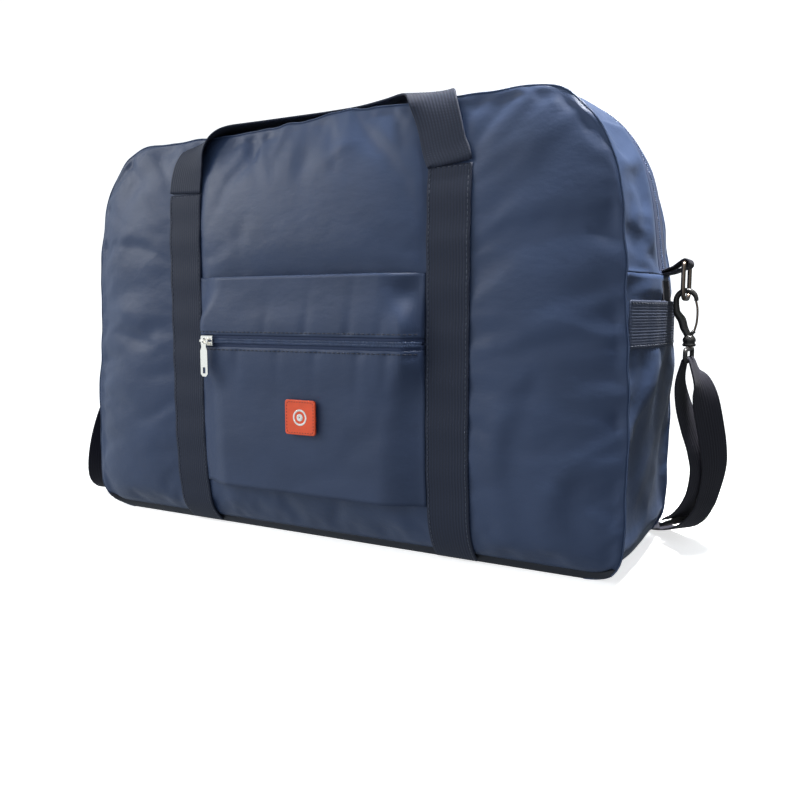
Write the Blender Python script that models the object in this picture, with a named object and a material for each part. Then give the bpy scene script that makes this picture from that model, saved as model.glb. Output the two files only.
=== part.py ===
"""Foldable travel tote bag: a zipped fabric body with a trolley sleeve, two webbing handles,
end bands, ring tabs with snap hooks, and a detachable shoulder strap.

Metres, +Z up. The origin is the centre of the flat base. The trolley sleeve faces -Y,
+X runs along the bag's length, and the main zip runs over the top in the mid plane y = 0.
"""
import math

import bmesh
import bpy
from mathutils import Matrix, Vector

# ---- driving dimensions -------------------------------------------------------------------
WIDTH = 0.491             # body length along X, seam to seam
HEIGHT = 0.333            # base to the top seams
HALF_DEPTH = 0.075        # mid plane to the seam between a face and the gusset
TOP_RADIUS = 0.085        # rounded shoulders of the two faces
BASE_RADIUS = 0.028       # rounded lower corners
BASE_TUCK = 0.013         # how far the faces turn in towards the base
TUCK_START_Z = 0.028      # height at which they start to turn in
FACE_BULGE = 0.009        # how far a filled face stands out past its seam
BULGE_REACH = 0.100       # distance from the seam over which the bulge builds up
GUSSET_CROWN = 0.010      # how far the gusset stands out at the mid plane
CROWN_START_Z = 0.070     # below this height the crown fades out into the flat base
SHOULDER_Z = 0.285        # the crown sags most at this height, on the shoulders
SHOULDER_SPAN = 0.050
SHOULDER_SAG = 0.55       # share of the crown that is lost there
FABRIC = 0.0015           # fabric thickness, seams included
GAP = 0.0003              # clearance between touching pieces
END_SEAM_Z = 0.211        # seam between the zipped gusset and the end panels

WEBBING = 0.0340          # width of the carrying webbing
WEBBING_THICK = 0.0018
WEBBING_X = 0.1223        # centre line of each run of webbing
STITCH_Z = 0.288          # box stitch where the handle leaves the face

SLEEVE_BOTTOM = 0.0420
SLEEVE_TOP = 0.2130
SLEEVE_HALF = 0.1050      # half width, sewn against the inner edges of the webbing
SLEEVE_STAND = 0.0150     # room for the rods of a trolley handle
SLEEVE_RAMP = 0.0145
POCKET_ZIP_Z = 0.1620
POCKET_CHAIN_HALF = 0.00225
POCKET_TAPE = 0.0040
POCKET_SLIDER_X = -0.0850
LINING_HALF = 0.0880
LINING_DROP = 0.0020

MAIN_CHAIN_HALF = 0.0030
MAIN_TAPE_OUTER = 0.0155
CHAIN_RISE = 0.0012       # how far the coil stands above its tapes
MAIN_SLIDER_X = 0.0110
MAIN_SLIDER_SCALE = 1.30

PATCH_CENTRE = (0.006, 0.1045)
PATCH_SIZE = (0.0280, 0.0270)

BAND_BOTTOM = 0.1610
BAND_TOP = 0.1930

RING_X = 0.2690           # vertical plane in which the D-ring hangs
RING_PIVOT_Z = 0.2190
RING_BOTTOM_Z = 0.1945
RING_HALF = 0.0135
RING_WIRE = 0.00175
TAB_HALF = 0.0105
HOOK_X = 0.2725           # swivel axis of the snap hook
HOOK_WIRE = 0.0020
EYE_TOP_Z = 0.1590
EYE_BOTTOM_Z = 0.1505
EYE_HALF = 0.0152
EYE_WIRE = 0.0016

STRAP = 0.0250            # width of the shoulder strap
STRAP_THICK = 0.0014

MILLI = 0.001
FACE_INSETS = (0.0, 0.008, 0.020, 0.038, 0.062, 0.100)
ARC_STEPS = 7
SEAM_STEP = FABRIC + GAP  # from a face's seam back to the edge of the gusset
HALF_WIDTH = WIDTH / 2


# ---- materials ----------------------------------------------------------------------------
PALETTE = {
    "navy_nylon": ((0.080, 0.105, 0.165), 0.55, 0.0),
    "navy_webbing": ((0.030, 0.038, 0.060), 0.80, 0.0),
    "black_webbing": ((0.012, 0.012, 0.018), 0.80, 0.0),
    "zip_tape": ((0.020, 0.026, 0.045), 0.75, 0.0),
    "zip_coil": ((0.035, 0.048, 0.085), 0.40, 0.0),
    "polished_metal": ((0.800, 0.790, 0.760), 0.20, 1.0),
    "black_plastic": ((0.022, 0.021, 0.021), 0.35, 0.0),
    "dark_metal": ((0.080, 0.065, 0.060), 0.30, 1.0),
    "orange_leather": ((0.820, 0.130, 0.045), 0.50, 0.0),
}


def make_material(obj, kind):
    """Give the object its own copy of one of the palette's finishes."""
    colour, roughness, metallic = PALETTE[kind]
    material = bpy.data.materials.new(obj.name + "_" + kind)
    material.use_nodes = True
    shader = material.node_tree.nodes["Principled BSDF"]
    shader.inputs["Base Color"].default_value = (*colour, 1.0)
    shader.inputs["Roughness"].default_value = roughness
    shader.inputs["Metallic"].default_value = metallic
    obj.data.materials.clear()
    obj.data.materials.append(material)


# ---- general builders ---------------------------------------------------------------------
def clear_scene():
    for obj in list(bpy.data.objects):
        bpy.data.objects.remove(obj, do_unlink=True)


def add_object(name, data, kind, pivot=None):
    """Link data as an object. With a pivot, the object's origin is moved onto the joint axis."""
    obj = bpy.data.objects.new(name, data)
    bpy.context.scene.collection.objects.link(obj)
    if pivot is not None:
        data.transform(Matrix.Translation(-Vector(pivot)))
        obj.location = pivot
    if kind:
        make_material(obj, kind)
    return obj


def mesh_from(name, points, faces):
    """A mesh with its faces turned outwards."""
    mesh = bpy.data.meshes.new(name)
    mesh.from_pydata([tuple(p) for p in points], [], faces)
    work = bmesh.new()
    work.from_mesh(mesh)
    bmesh.ops.recalc_face_normals(work, faces=work.faces)
    work.to_mesh(mesh)
    work.free()
    return mesh


def slab(name, outer, inner, kind, pivot=None):
    """A closed sheet between two matching grids of points, outer[i][j] and inner[i][j]."""
    rows, columns = len(outer), len(outer[0])
    points = [p for row in outer for p in row] + [p for row in inner for p in row]
    shift = rows * columns

    def at(i, j):
        return i * columns + j

    faces = []
    for i in range(rows - 1):
        for j in range(columns - 1):
            quad = (at(i, j), at(i + 1, j), at(i + 1, j + 1), at(i, j + 1))
            faces.append(quad)
            faces.append(tuple(shift + k for k in reversed(quad)))
    for i in range(rows - 1):
        for j in (0, columns - 1):
            faces.append((at(i, j), at(i + 1, j), shift + at(i + 1, j), shift + at(i, j)))
    for j in range(columns - 1):
        for i in (0, rows - 1):
            faces.append((at(i, j), at(i, j + 1), shift + at(i, j + 1), shift + at(i, j)))
    return add_object(name, mesh_from(name, points, faces), kind, pivot)


def smooth_path(points, steps):
    """Catmull-Rom curve through the points, with the given number of steps per span."""
    points = [Vector(p) for p in points]
    ends = [2 * points[0] - points[1]] + points + [2 * points[-1] - points[-2]]
    path = []
    for k in range(len(points) - 1):
        a, b, c, d = ends[k:k + 4]
        for step in range(steps):
            t = step / steps
            path.append(0.5 * (2 * b + (c - a) * t + (2 * a - 5 * b + 4 * c - d) * t ** 2
                               + (3 * b - a - 3 * c + d) * t ** 3))
    path.append(points[-1])
    return path


def ribbon(name, path, across, width, thickness, kind, pivot=None):
    """Flat webbing along a path; across holds the direction of its width at each point."""
    outer, inner = [], []
    for k, centre in enumerate(path):
        tangent = (path[min(k + 1, len(path) - 1)] - path[max(k - 1, 0)]).normalized()
        side = across[k] - across[k].dot(tangent) * tangent
        side = side.normalized() * width / 2
        normal = tangent.cross(side).normalized() * thickness / 2
        outer.append([centre + normal - side, centre + normal + side])
        inner.append([centre - normal - side, centre - normal + side])
    return slab(name, outer, inner, kind, pivot)


def wire(name, points, radius, kind, pivot=None, cyclic=False, sides=2):
    """A round bar along a list of points, capped at its ends unless it is a closed ring."""
    curve = bpy.data.curves.new(name, "CURVE")
    curve.dimensions = "3D"
    curve.bevel_depth = radius
    curve.bevel_resolution = sides
    curve.use_fill_caps = not cyclic
    spline = curve.splines.new("POLY")
    spline.points.add(len(points) - 1)
    for point, place in zip(spline.points, points):
        point.co = (*place, 1.0)
    spline.use_cyclic_u = cyclic
    return add_object(name, curve, kind, pivot)


def prism(name, outline, depth, frame, kind, pivot=None):
    """An outline in the plane (a, b) of a frame, extruded along c to either side by depth / 2."""
    count = len(outline)
    points = [frame @ Vector((a, b, side * depth / 2)) for side in (-1, 1) for a, b in outline]
    faces = [tuple(reversed(range(count))), tuple(range(count, 2 * count))]
    for k in range(count):
        n = (k + 1) % count
        faces.append((k, n, count + n, count + k))
    return add_object(name, mesh_from(name, points, faces), kind, pivot)


def combine(target, tool, operation):
    """Join or cut the target with a tool object, which stays hidden as a guide."""
    modifier = target.modifiers.new(tool.name, "BOOLEAN")
    modifier.operation = operation
    modifier.solver = "EXACT"
    modifier.object = tool
    tool.hide_render = True
    tool.display_type = "WIRE"


def frame_at(origin, a, b):
    """A frame with its first two axes along a and b, and the third along their cross product."""
    a, b = Vector(a), Vector(b)
    c = a.cross(b)
    matrix = Matrix((a, b, c)).transposed().to_4x4()
    matrix.translation = Vector(origin)
    return matrix


def arc(centre, radius, start, end, steps):
    """Points of an arc in degrees, as (a, b) pairs."""
    turn = [math.radians(start + (end - start) * k / steps) for k in range(steps + 1)]
    return [(centre[0] + radius * math.cos(t), centre[1] + radius * math.sin(t)) for t in turn]


# ---- the shape of the body ----------------------------------------------------------------
def bulge(distance):
    """Height of a face above its seam plane at a distance inside the seam."""
    t = min(distance / BULGE_REACH, 1.0)
    return FACE_BULGE * (1 - (1 - t) ** 2)


def seam_depth(z):
    """Distance from the mid plane to the seam of a face, which tucks in near the base."""
    t = max(1 - z / TUCK_START_Z, 0.0)
    return HALF_DEPTH - BASE_TUCK * t ** 2


def face_depth(z):
    """Distance from the mid plane to a face, between the two runs of webbing."""
    return seam_depth(z) + bulge(min(z, HEIGHT - z))


def outline_ring(inset):
    """The faces' rounded outline, moved inwards, as (x, z) from the lower right corner round."""
    half, low, high = HALF_WIDTH - inset, inset, HEIGHT - inset
    smallest = 0.012
    top = max(TOP_RADIUS - inset, smallest)
    base = max(BASE_RADIUS - inset, smallest)
    return (arc((half - base, low + base), base, -90, 0, ARC_STEPS)
            + arc((half - top, high - top), top, 0, 90, ARC_STEPS)
            + arc((-half + top, high - top), top, 90, 180, ARC_STEPS)
            + arc((-half + base, low + base), base, 180, 270, ARC_STEPS))


def face_panel(name, side):
    """A bulged face: rings of the outline on both skins, closed by flat middles."""
    points, starts = [], []
    for inward in (0.0, FABRIC):
        for inset in FACE_INSETS:
            starts.append(len(points))
            rise = bulge(inset) - inward
            points += [(x, side * (seam_depth(z) + rise), z) for x, z in outline_ring(inset)]
    count = len(outline_ring(0.0))
    rings = len(FACE_INSETS)
    order = list(range(rings)) + list(range(2 * rings - 1, rings - 1, -1))
    faces = []
    loops = [order[:rings], order[rings:]]
    for loop in loops:
        for first, second in zip(loop, loop[1:]):
            for k in range(count):
                n = (k + 1) % count
                faces.append((starts[first] + k, starts[first] + n,
                              starts[second] + n, starts[second] + k))
    for k in range(count):
        n = (k + 1) % count
        faces.append((starts[0] + k, starts[0] + n, starts[rings] + n, starts[rings] + k))
    for last in (rings - 1, 2 * rings - 1):
        faces.append(tuple(starts[last] + k for k in range(count)))
    return add_object(name, mesh_from(name, points, faces), "navy_nylon")


def crown(y, z):
    """How far the gusset stands out of the seam outline at depth y and height z."""
    fade = min(max(z / CROWN_START_Z, 0.0), 1.0)
    fade = fade * fade * (3 - 2 * fade)
    sag = SHOULDER_SAG * max(1 - ((z - SHOULDER_Z) / SHOULDER_SPAN) ** 2, 0.0) ** 2
    return GUSSET_CROWN * fade * (1 - sag) * (1 - (y / HALF_DEPTH) ** 2)


def gusset_strip(name, path, depths, thickness, kind, lift=0.0):
    """A strip of gusset along path, a list of ((x, z), (nx, nz)), across the given depths.

    Depths are given where the bag is deepest, and narrow with the seams near the base.
    """
    outer, inner = [], []
    for (x, z), (nx, nz) in path:
        top, under = [], []
        narrowing = (seam_depth(z) - SEAM_STEP) / (HALF_DEPTH - SEAM_STEP)
        for y in (depth * narrowing for depth in depths):
            out = crown(y, z) + lift
            top.append(Vector((x + nx * out, y, z + nz * out)))
            under.append(Vector((x + nx * (out - thickness), y, z + nz * (out - thickness))))
        outer.append(top)
        inner.append(under)
    return slab(name, outer, inner, kind)


def over_the_top():
    """Path of the zipped gusset: up the right end, over the top and down the left end."""
    path = []
    shoulder = HEIGHT - TOP_RADIUS
    for side in (1, -1):
        half = [((HALF_WIDTH, END_SEAM_Z + GAP), (1, 0))]
        for k in range(ARC_STEPS + 2):
            turn = math.radians(90 * k / (ARC_STEPS + 1))
            normal = (math.cos(turn), math.sin(turn))
            centre = (HALF_WIDTH - TOP_RADIUS, shoulder)
            half.append(((centre[0] + TOP_RADIUS * normal[0],
                          centre[1] + TOP_RADIUS * normal[1]), normal))
        half = [((side * x, z), (side * nx, nz)) for (x, z), (nx, nz) in half]
        path += half if side == 1 else half[::-1]
    return path


def down_the_end(side):
    """Path of an end panel: from the end seam round the lower corner to the base."""
    path = [((side * HALF_WIDTH, z), (side, 0)) for z in (END_SEAM_Z - GAP, CROWN_START_Z, 0.050)]
    for k in range(ARC_STEPS + 1):
        turn = math.radians(-90 * k / ARC_STEPS)
        normal = (side * math.cos(turn), math.sin(turn))
        path.append(((side * (HALF_WIDTH - BASE_RADIUS) + BASE_RADIUS * normal[0],
                      BASE_RADIUS + BASE_RADIUS * normal[1]), normal))
    return path


def spread(low, high, count):
    return [low + (high - low) * k / count for k in range(count + 1)]


def build_body():
    face_panel("front_panel", -1)
    face_panel("back_panel", 1)
    edge = HALF_WIDTH - BASE_RADIUS - GAP
    deep = seam_depth(0) - SEAM_STEP
    prism("base_panel", [(-edge, -deep), (edge, -deep), (edge, deep), (-edge, deep)], FABRIC,
          frame_at((0, 0, FABRIC / 2), (1, 0, 0), (0, 1, 0)), "navy_nylon")
    gusset = HALF_DEPTH - SEAM_STEP
    for side, word in ((1, "right"), (-1, "left")):
        gusset_strip(word + "_end_panel", down_the_end(side), spread(-gusset, gusset, 8),
                     FABRIC, "navy_nylon")
        band = [((side * HALF_WIDTH, z), (side, 0)) for z in (BAND_BOTTOM, BAND_TOP)]
        gusset_strip(word + "_end_band", band, spread(-gusset, gusset, 8),
                     FABRIC, "navy_webbing", lift=FABRIC + GAP)
    top = over_the_top()
    tape = MAIN_TAPE_OUTER
    for side, word in ((-1, "front"), (1, "rear")):
        gusset_strip("top_gusset_" + word, top,
                     spread(side * gusset, side * (tape + GAP), 3), FABRIC, "navy_nylon")
        gusset_strip("main_zip_tape_" + word, top,
                     (side * tape, side * (MAIN_CHAIN_HALF + GAP)), FABRIC, "zip_tape")
        seam_binding(word + "_seam_binding", side)
    gusset_strip("main_zip_chain", top, (-MAIN_CHAIN_HALF, MAIN_CHAIN_HALF),
                 FABRIC + CHAIN_RISE, "zip_coil", lift=CHAIN_RISE)


def seam_binding(name, side):
    """Tape that binds the raw edges inside the seam between a face and the gusset."""
    points = []
    near, far = SEAM_STEP + 2 * GAP, SEAM_STEP + 2 * GAP + 0.009
    rings = ((0.0026, near), (0.0026, far), (0.0040, far), (0.0040, near))
    for inset, back in rings:
        points += [(x, side * (seam_depth(z) - back), z) for x, z in outline_ring(inset)]
    count = len(points) // len(rings)
    faces = []
    for ring in range(len(rings)):
        after = (ring + 1) % len(rings)
        for k in range(count):
            n = (k + 1) % count
            faces.append((ring * count + k, ring * count + n, after * count + n, after * count + k))
    add_object(name, mesh_from(name, points, faces), "zip_tape")


# ---- trolley sleeve and its zipped pocket -------------------------------------------------
def sleeve_rise(x):
    """How far the sleeve stands off the face: sewn down at its sides, raised between them."""
    t = min(max((SLEEVE_HALF - abs(x)) / SLEEVE_RAMP, 0.0), 1.0)
    return SLEEVE_STAND * math.sin(t * math.pi / 2)


def sleeve_sheet(name, heights, thickness, kind, lift=0.0):
    """A stretch of the sleeve between two heights."""
    ramp = [SLEEVE_HALF - SLEEVE_RAMP * k / 4 for k in range(5)]
    stations = [-x for x in ramp] + ramp[::-1]
    outer, inner = [], []
    for x in stations:
        depth = [face_depth(z) + GAP + FABRIC + sleeve_rise(x) + lift for z in heights]
        outer.append([Vector((x, -d, z)) for d, z in zip(depth, heights)])
        inner.append([Vector((x, -(d - thickness), z)) for d, z in zip(depth, heights)])
    return slab(name, outer, inner, kind)


def build_sleeve():
    coil, tape = POCKET_CHAIN_HALF, POCKET_CHAIN_HALF + GAP + POCKET_TAPE
    low, high = POCKET_ZIP_Z - tape, POCKET_ZIP_Z + tape
    sleeve_sheet("sleeve_lower_panel", (SLEEVE_BOTTOM, 0.062, 0.100, low - GAP), FABRIC, "navy_nylon")
    sleeve_sheet("sleeve_upper_panel", (high + GAP, SLEEVE_TOP), FABRIC, "navy_nylon")
    sleeve_sheet("pocket_zip_tape_lower", (low, POCKET_ZIP_Z - coil - GAP), FABRIC, "zip_tape")
    sleeve_sheet("pocket_zip_tape_upper", (POCKET_ZIP_Z + coil + GAP, high), FABRIC, "zip_tape")
    sleeve_sheet("pocket_zip_chain", (POCKET_ZIP_Z - coil, POCKET_ZIP_Z + coil),
                 FABRIC + CHAIN_RISE, "zip_coil", lift=CHAIN_RISE)
    pocket_lining()
    depth = sleeve_front() + GAP + FABRIC / 2
    (x, z), (w, h) = PATCH_CENTRE, PATCH_SIZE
    corner = 0.002
    outline = []
    for sx, sz, start in ((1, -1, -90), (1, 1, 0), (-1, 1, 90), (-1, -1, 180)):
        centre = (sx * (w / 2 - corner), sz * (h / 2 - corner))
        outline += arc(centre, corner, start, start + 90, 2)
    prism("logo_patch", outline, FABRIC, frame_at((x, -depth, z), (1, 0, 0), (0, 0, 1)),
          "orange_leather")


def sleeve_front():
    """Depth of the sleeve's flat outer surface where the face has its full bulge."""
    return HALF_DEPTH + FACE_BULGE + GAP + FABRIC + SLEEVE_STAND


def pocket_lining():
    """Back wall of the zipped pocket, hung inside the sleeve and sewn to it all round."""
    xs = [-LINING_HALF, -LINING_HALF + 0.006, LINING_HALF - 0.006, LINING_HALF]
    zs = [0.062, 0.068, 0.100, 0.198, 0.204]
    thickness = 0.0010
    outer, inner = [], []
    for i, x in enumerate(xs):
        front, back = [], []
        for j, z in enumerate(zs):
            border = i in (0, len(xs) - 1) or j in (0, len(zs) - 1)
            drop = GAP if border else LINING_DROP
            depth = face_depth(z) + GAP + sleeve_rise(x) - drop
            front.append(Vector((x, -depth, z)))
            back.append(Vector((x, -(depth - thickness), z)))
        outer.append(front)
        inner.append(back)
    slab("sleeve_pocket_lining", outer, inner, "navy_nylon")


# ---- zip sliders and pulls ----------------------------------------------------------------
PLATE_TOP = 1.3           # slider sizes are in millimetres at scale 1
ARCH_BAR = 4.2            # centre of the arch's bar above the coil
PULL_BAR = (2.0, 2.5)     # where the pull's own bar lies under the arch


def zip_slider(name, frame, scale):
    """A slider over the coil: a channel plate with an arch along the zip for the pull."""
    size = scale * MILLI
    channel = [(-4, -0.9), (-2.75, -0.9), (-2.75, 0), (2.75, 0), (2.75, -0.9), (4, -0.9),
               (4, 0.5), (3.2, PLATE_TOP), (-3.2, PLATE_TOP), (-4, 0.5)]
    arch = [(-5.6, 1.0), (-4.2, 4.7), (4.2, 4.7), (5.6, 1.0), (4.5, 1.0), (3.4, 3.7),
            (-3.4, 3.7), (-4.5, 1.0)]
    along, out, across = (frame.col[k].to_3d() for k in range(3))
    origin = frame.translation
    plate = prism(name, [(w * size, v * size) for w, v in channel], 12 * size,
                  frame_at(origin, across, out), "polished_metal", pivot=origin)
    bail = prism(name + "_arch", [(u * size, v * size) for u, v in arch], 1.8 * size,
                 frame_at(origin, along, out), None)
    combine(plate, bail, "UNION")
    return plate


def zip_pull_plate(name, frame, length, size, kind="polished_metal", root=-0.6):
    """A flat pull whose first axis runs from its root to its tip, with a slot near the tip."""
    outline = [(root, -2.4), (5.5, -2.4), (8.0, -3.6), (length - 2, -3.6), (length, -1.8),
               (length, 1.8), (length - 2, 3.6), (8.0, 3.6), (5.5, 2.4), (root, 2.4)]
    pull = prism(name, [(a * size, b * size) for a, b in outline], 1.2 * size, frame, kind,
                 pivot=frame.translation)
    cut_slot(pull, frame, (length - 7.5, length - 2.5), 1.3, size)
    return pull


def cut_slot(pull, frame, span, half, size):
    low, high = span
    outline = [(low, -half), (high, -half), (high, half), (low, half)]
    tool = prism(pull.name + "_slot_%d" % low, [(a * size, b * size) for a, b in outline],
                 4 * size, frame, None)
    combine(pull, tool, "DIFFERENCE")


def build_main_sliders():
    top = HEIGHT + GUSSET_CROWN + CHAIN_RISE + GAP
    size = MAIN_SLIDER_SCALE * MILLI
    for side, word in ((1, "right"), (-1, "left")):
        origin = Vector((side * MAIN_SLIDER_X, 0, top))
        frame = frame_at(origin, (side, 0, 0), (0, 0, 1))
        zip_slider("main_slider_" + word, frame, MAIN_SLIDER_SCALE)
        along, up = PULL_BAR
        pivot = origin + Vector((side * along * size, 0, up * size))
        flat = frame_at(pivot, (side, 0, 0), (0, 1, 0))
        pull = zip_pull_plate("main_pull_" + word, flat, 27, size)
        cut_slot(pull, flat, (0.7, 5.0), 1.4, size)


def build_pocket_slider():
    origin = Vector((POCKET_SLIDER_X, -(sleeve_front() + CHAIN_RISE + GAP), POCKET_ZIP_Z))
    frame = frame_at(origin, (1, 0, 0), (0, -1, 0))
    zip_slider("pocket_slider", frame, 1.0)
    pivot = origin + Vector((0, -ARCH_BAR * MILLI, 0))
    hanging = frame_at(pivot, (0, 0, -1), (1, 0, 0))
    pull = zip_pull_plate("pocket_pull", hanging, 29, MILLI, root=2.2)
    loop = [(0, 1.9 * MILLI * math.cos(t), 1.9 * MILLI * math.sin(t))
            for t in (math.tau * k / 14 for k in range(14))]
    link = wire("pocket_pull_link", loop, 0.5 * MILLI, None, cyclic=True, sides=1)
    link.location = pivot
    ring = bpy.data.meshes.new_from_object(link.evaluated_get(bpy.context.evaluated_depsgraph_get()))
    bpy.data.objects.remove(link, do_unlink=True)
    link = add_object("pocket_pull_link", ring, None)
    link.location = pivot
    combine(pull, link, "UNION")


# ---- carrying webbing and handle loops ----------------------------------------------------
def face_webbing(name, side_x, side_y):
    """Webbing sewn flat on a face, from the base seam up to the box stitch."""
    heights = [z for z in FACE_INSETS[:-1] if z > 0] + [FACE_INSETS[-1]]
    heights += [HEIGHT - z for z in FACE_INSETS[::-1]]
    heights = [0.0015] + [z for z in heights if z < STITCH_Z] + [STITCH_Z - 0.001]
    outer, inner = [], []
    for z in heights:
        depth = face_depth(z) + GAP
        edges = [side_x * WEBBING_X - WEBBING / 2, side_x * WEBBING_X + WEBBING / 2]
        outer.append([Vector((x, side_y * (depth + WEBBING_THICK), z)) for x in edges])
        inner.append([Vector((x, side_y * depth, z)) for x in edges])
    slab(name, outer, inner, "navy_webbing")


def handle_loop(name, half, pivot):
    """A loop of webbing from its right leg's points and width directions, mirrored in x."""
    mirrored = [((-x, y, z), (-u, v, w)) for (x, y, z), (u, v, w) in half[-2::-1]]
    route = half + mirrored
    steps = 2
    path = smooth_path([place for place, _ in route], steps)
    across = smooth_path([width for _, width in route], steps)
    ribbon(name, path, across, WEBBING, WEBBING_THICK, "navy_webbing", pivot)


HANDLE_Z = STITCH_Z + 0.0006
FRONT_HANDLE_Y = -(HALF_DEPTH + 0.0082)
REAR_HANDLE_Y = HALF_DEPTH + 0.0118

# The front loop lies back over the top of the bag: right leg up the face, over the edge,
# and round to the middle of its grip.
FRONT_HALF_LOOP = [
    ((WEBBING_X, FRONT_HANDLE_Y, HANDLE_Z), (1, 0, 0)),
    ((0.1220, -0.0824, 0.3010), (1, 0, 0)),
    ((0.1205, -0.0812, 0.3170), (1, 0, 0)),
    ((0.1175, -0.0795, 0.3330), (1, 0.08, 0)),
    ((0.1125, -0.0715, 0.3420), (0.95, 0.30, 0.04)),
    ((0.1035, -0.0585, 0.3450), (0.80, 0.60, 0.06)),
    ((0.0890, -0.0485, 0.3455), (0.50, 0.86, 0.09)),
    ((0.0650, -0.0430, 0.3450), (0.20, 0.97, 0.12)),
    ((0.0330, -0.0400, 0.3445), (0.05, 0.99, 0.14)),
    ((0.0000, -0.0395, 0.3445), (0, 0.99, 0.14)),
]
# The rear loop hangs down the back of the bag.
REAR_HALF_LOOP = [
    ((WEBBING_X, REAR_HANDLE_Y, HANDLE_Z), (1, 0, 0)),
    ((0.1223, 0.0880, 0.2700), (1, 0, 0)),
    ((0.1220, 0.0890, 0.2400), (1, 0, 0)),
    ((0.1200, 0.0893, 0.2050), (1, 0, -0.08)),
    ((0.1130, 0.0895, 0.1760), (0.90, 0, -0.43)),
    ((0.0960, 0.0897, 0.1550), (0.55, 0, -0.83)),
    ((0.0700, 0.0898, 0.1460), (0.15, 0, -0.98)),
    ((0.0350, 0.0898, 0.1435), (0.03, 0, -1)),
    ((0.0000, 0.0898, 0.1430), (0, 0, -1)),
]


def build_webbing():
    for side_y, depth_word in ((-1, "front"), (1, "rear")):
        for side_x, word in ((1, "right"), (-1, "left")):
            face_webbing(depth_word + "_webbing_" + word, side_x, side_y)
    handle_loop("front_handle_loop", FRONT_HALF_LOOP, (0, FRONT_HANDLE_Y, HANDLE_Z))
    handle_loop("rear_handle_loop", REAR_HALF_LOOP, (0, REAR_HANDLE_Y, HANDLE_Z))


# ---- rings, tabs and snap hooks -----------------------------------------------------------
def ring_tab(word, side):
    """A folded webbing tab sewn into the end seam, round the ring's upper bar."""
    inner_radius = RING_WIRE + GAP + 0.0001
    middle = inner_radius + FABRIC / 2
    root = HALF_WIDTH + GUSSET_CROWN + CHAIN_RISE + GAP + FABRIC / 2 + 0.0002
    wrap = arc((RING_X, RING_PIVOT_Z), middle, 125, -95, 8)
    profile = ([(root, END_SEAM_Z + 0.0032), (root + 0.0035, END_SEAM_Z + 0.0062)] + wrap
               + [(root + 0.0030, END_SEAM_Z + 0.0024), (root, END_SEAM_Z + 0.0010)])
    path = [Vector((side * x, 0, z)) for x, z in profile]
    across = [Vector((0, 1, 0))] * len(path)
    ribbon(word + "_ring_tab", path, across, 2 * TAB_HALF, FABRIC, "black_webbing")


def d_ring(word, side):
    """A D-ring hanging from the tab: a straight bar above, rounded below."""
    corner, bow = 0.0030, 0.0080
    points = (arc((RING_HALF - corner, RING_PIVOT_Z - corner), corner, 90, 0, 2)
              + arc((RING_HALF - bow, RING_BOTTOM_Z + bow), bow, 0, -90, 4)
              + arc((-RING_HALF + bow, RING_BOTTOM_Z + bow), bow, -90, -180, 4)
              + arc((-RING_HALF + corner, RING_PIVOT_Z - corner), corner, 180, 90, 2))
    pivot = (side * RING_X, 0, RING_PIVOT_Z)
    wire(word + "_d_ring", [(side * RING_X, y, z) for y, z in points], RING_WIRE, "dark_metal",
         pivot=pivot, cyclic=True, sides=2)


def snap_hook(word, side):
    """The hook's body, a bent bar with a collar, and its sprung gate."""
    bend = arc((RING_X + 0.0005, RING_BOTTOM_Z - 0.0010), 0.0068, 180, 20, 8)
    spine = [(HOOK_X - 0.0005, 0.1665), (HOOK_X - 0.0040, 0.1745), (RING_X - 0.0057, 0.1850)]
    points = spine + bend
    pivot = (side * HOOK_X, 0, 0.1650)
    body = wire(word + "_snap_hook", [(side * x, 0, z) for x, z in points], HOOK_WIRE,
                "black_plastic", pivot=pivot, sides=2)
    outline = [(0, 0.1612), (0.0044, 0.1612), (0.0044, 0.1668), (0.0030, 0.1690), (0, 0.1690)]
    turned(body, outline, side * HOOK_X)
    nose_x, nose_z = bend[-1]
    foot = (HOOK_X + 0.0030, 0.1712)
    gate_pivot = (side * foot[0], 0, foot[1])
    gate = [foot, (foot[0] + 0.0006, 0.1780), (nose_x + 0.0005, nose_z - 0.0036)]
    wire(word + "_hook_gate", [(side * x, 0, z) for x, z in gate], 0.0009, "dark_metal",
         pivot=gate_pivot, sides=1)


def turned(body, outline, x):
    """Turn an outline of (radius, z) about a vertical axis and join it to a body."""
    count = 10
    points, faces = [], []
    for k in range(count):
        turn = math.tau * k / count
        points += [(x + r * math.cos(turn), r * math.sin(turn), z) for r, z in outline[1:-1]]
    rows = len(outline) - 2
    for k in range(count):
        n = (k + 1) % count
        for row in range(rows - 1):
            faces.append((k * rows + row, n * rows + row, n * rows + row + 1, k * rows + row + 1))
    faces.append(tuple(k * rows for k in range(count)))
    faces.append(tuple(k * rows + rows - 1 for k in range(count)))
    collar = add_object(body.name + "_collar", mesh_from(body.name, points, faces), None)
    solid = bpy.data.meshes.new_from_object(
        body.evaluated_get(bpy.context.evaluated_depsgraph_get()))
    name, place = body.name, body.location.copy()
    bpy.data.objects.remove(body, do_unlink=True)
    hook = add_object(name, solid, "black_plastic")
    hook.location = place
    combine(hook, collar, "UNION")


def swivel_eye(word, side):
    """Rectangular eye under the hook's collar, which the shoulder strap passes through."""
    corner = 0.0028
    points = (arc((EYE_HALF - corner, EYE_TOP_Z - corner), corner, 90, 0, 2)
              + arc((EYE_HALF - corner, EYE_BOTTOM_Z + corner), corner, 0, -90, 2)
              + arc((-EYE_HALF + corner, EYE_BOTTOM_Z + corner), corner, -90, -180, 2)
              + arc((-EYE_HALF + corner, EYE_TOP_Z - corner), corner, 180, 90, 2))
    wire(word + "_swivel_eye", [(side * HOOK_X, y, z) for y, z in points], EYE_WIRE,
         "black_plastic", cyclic=True, sides=2)


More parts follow.
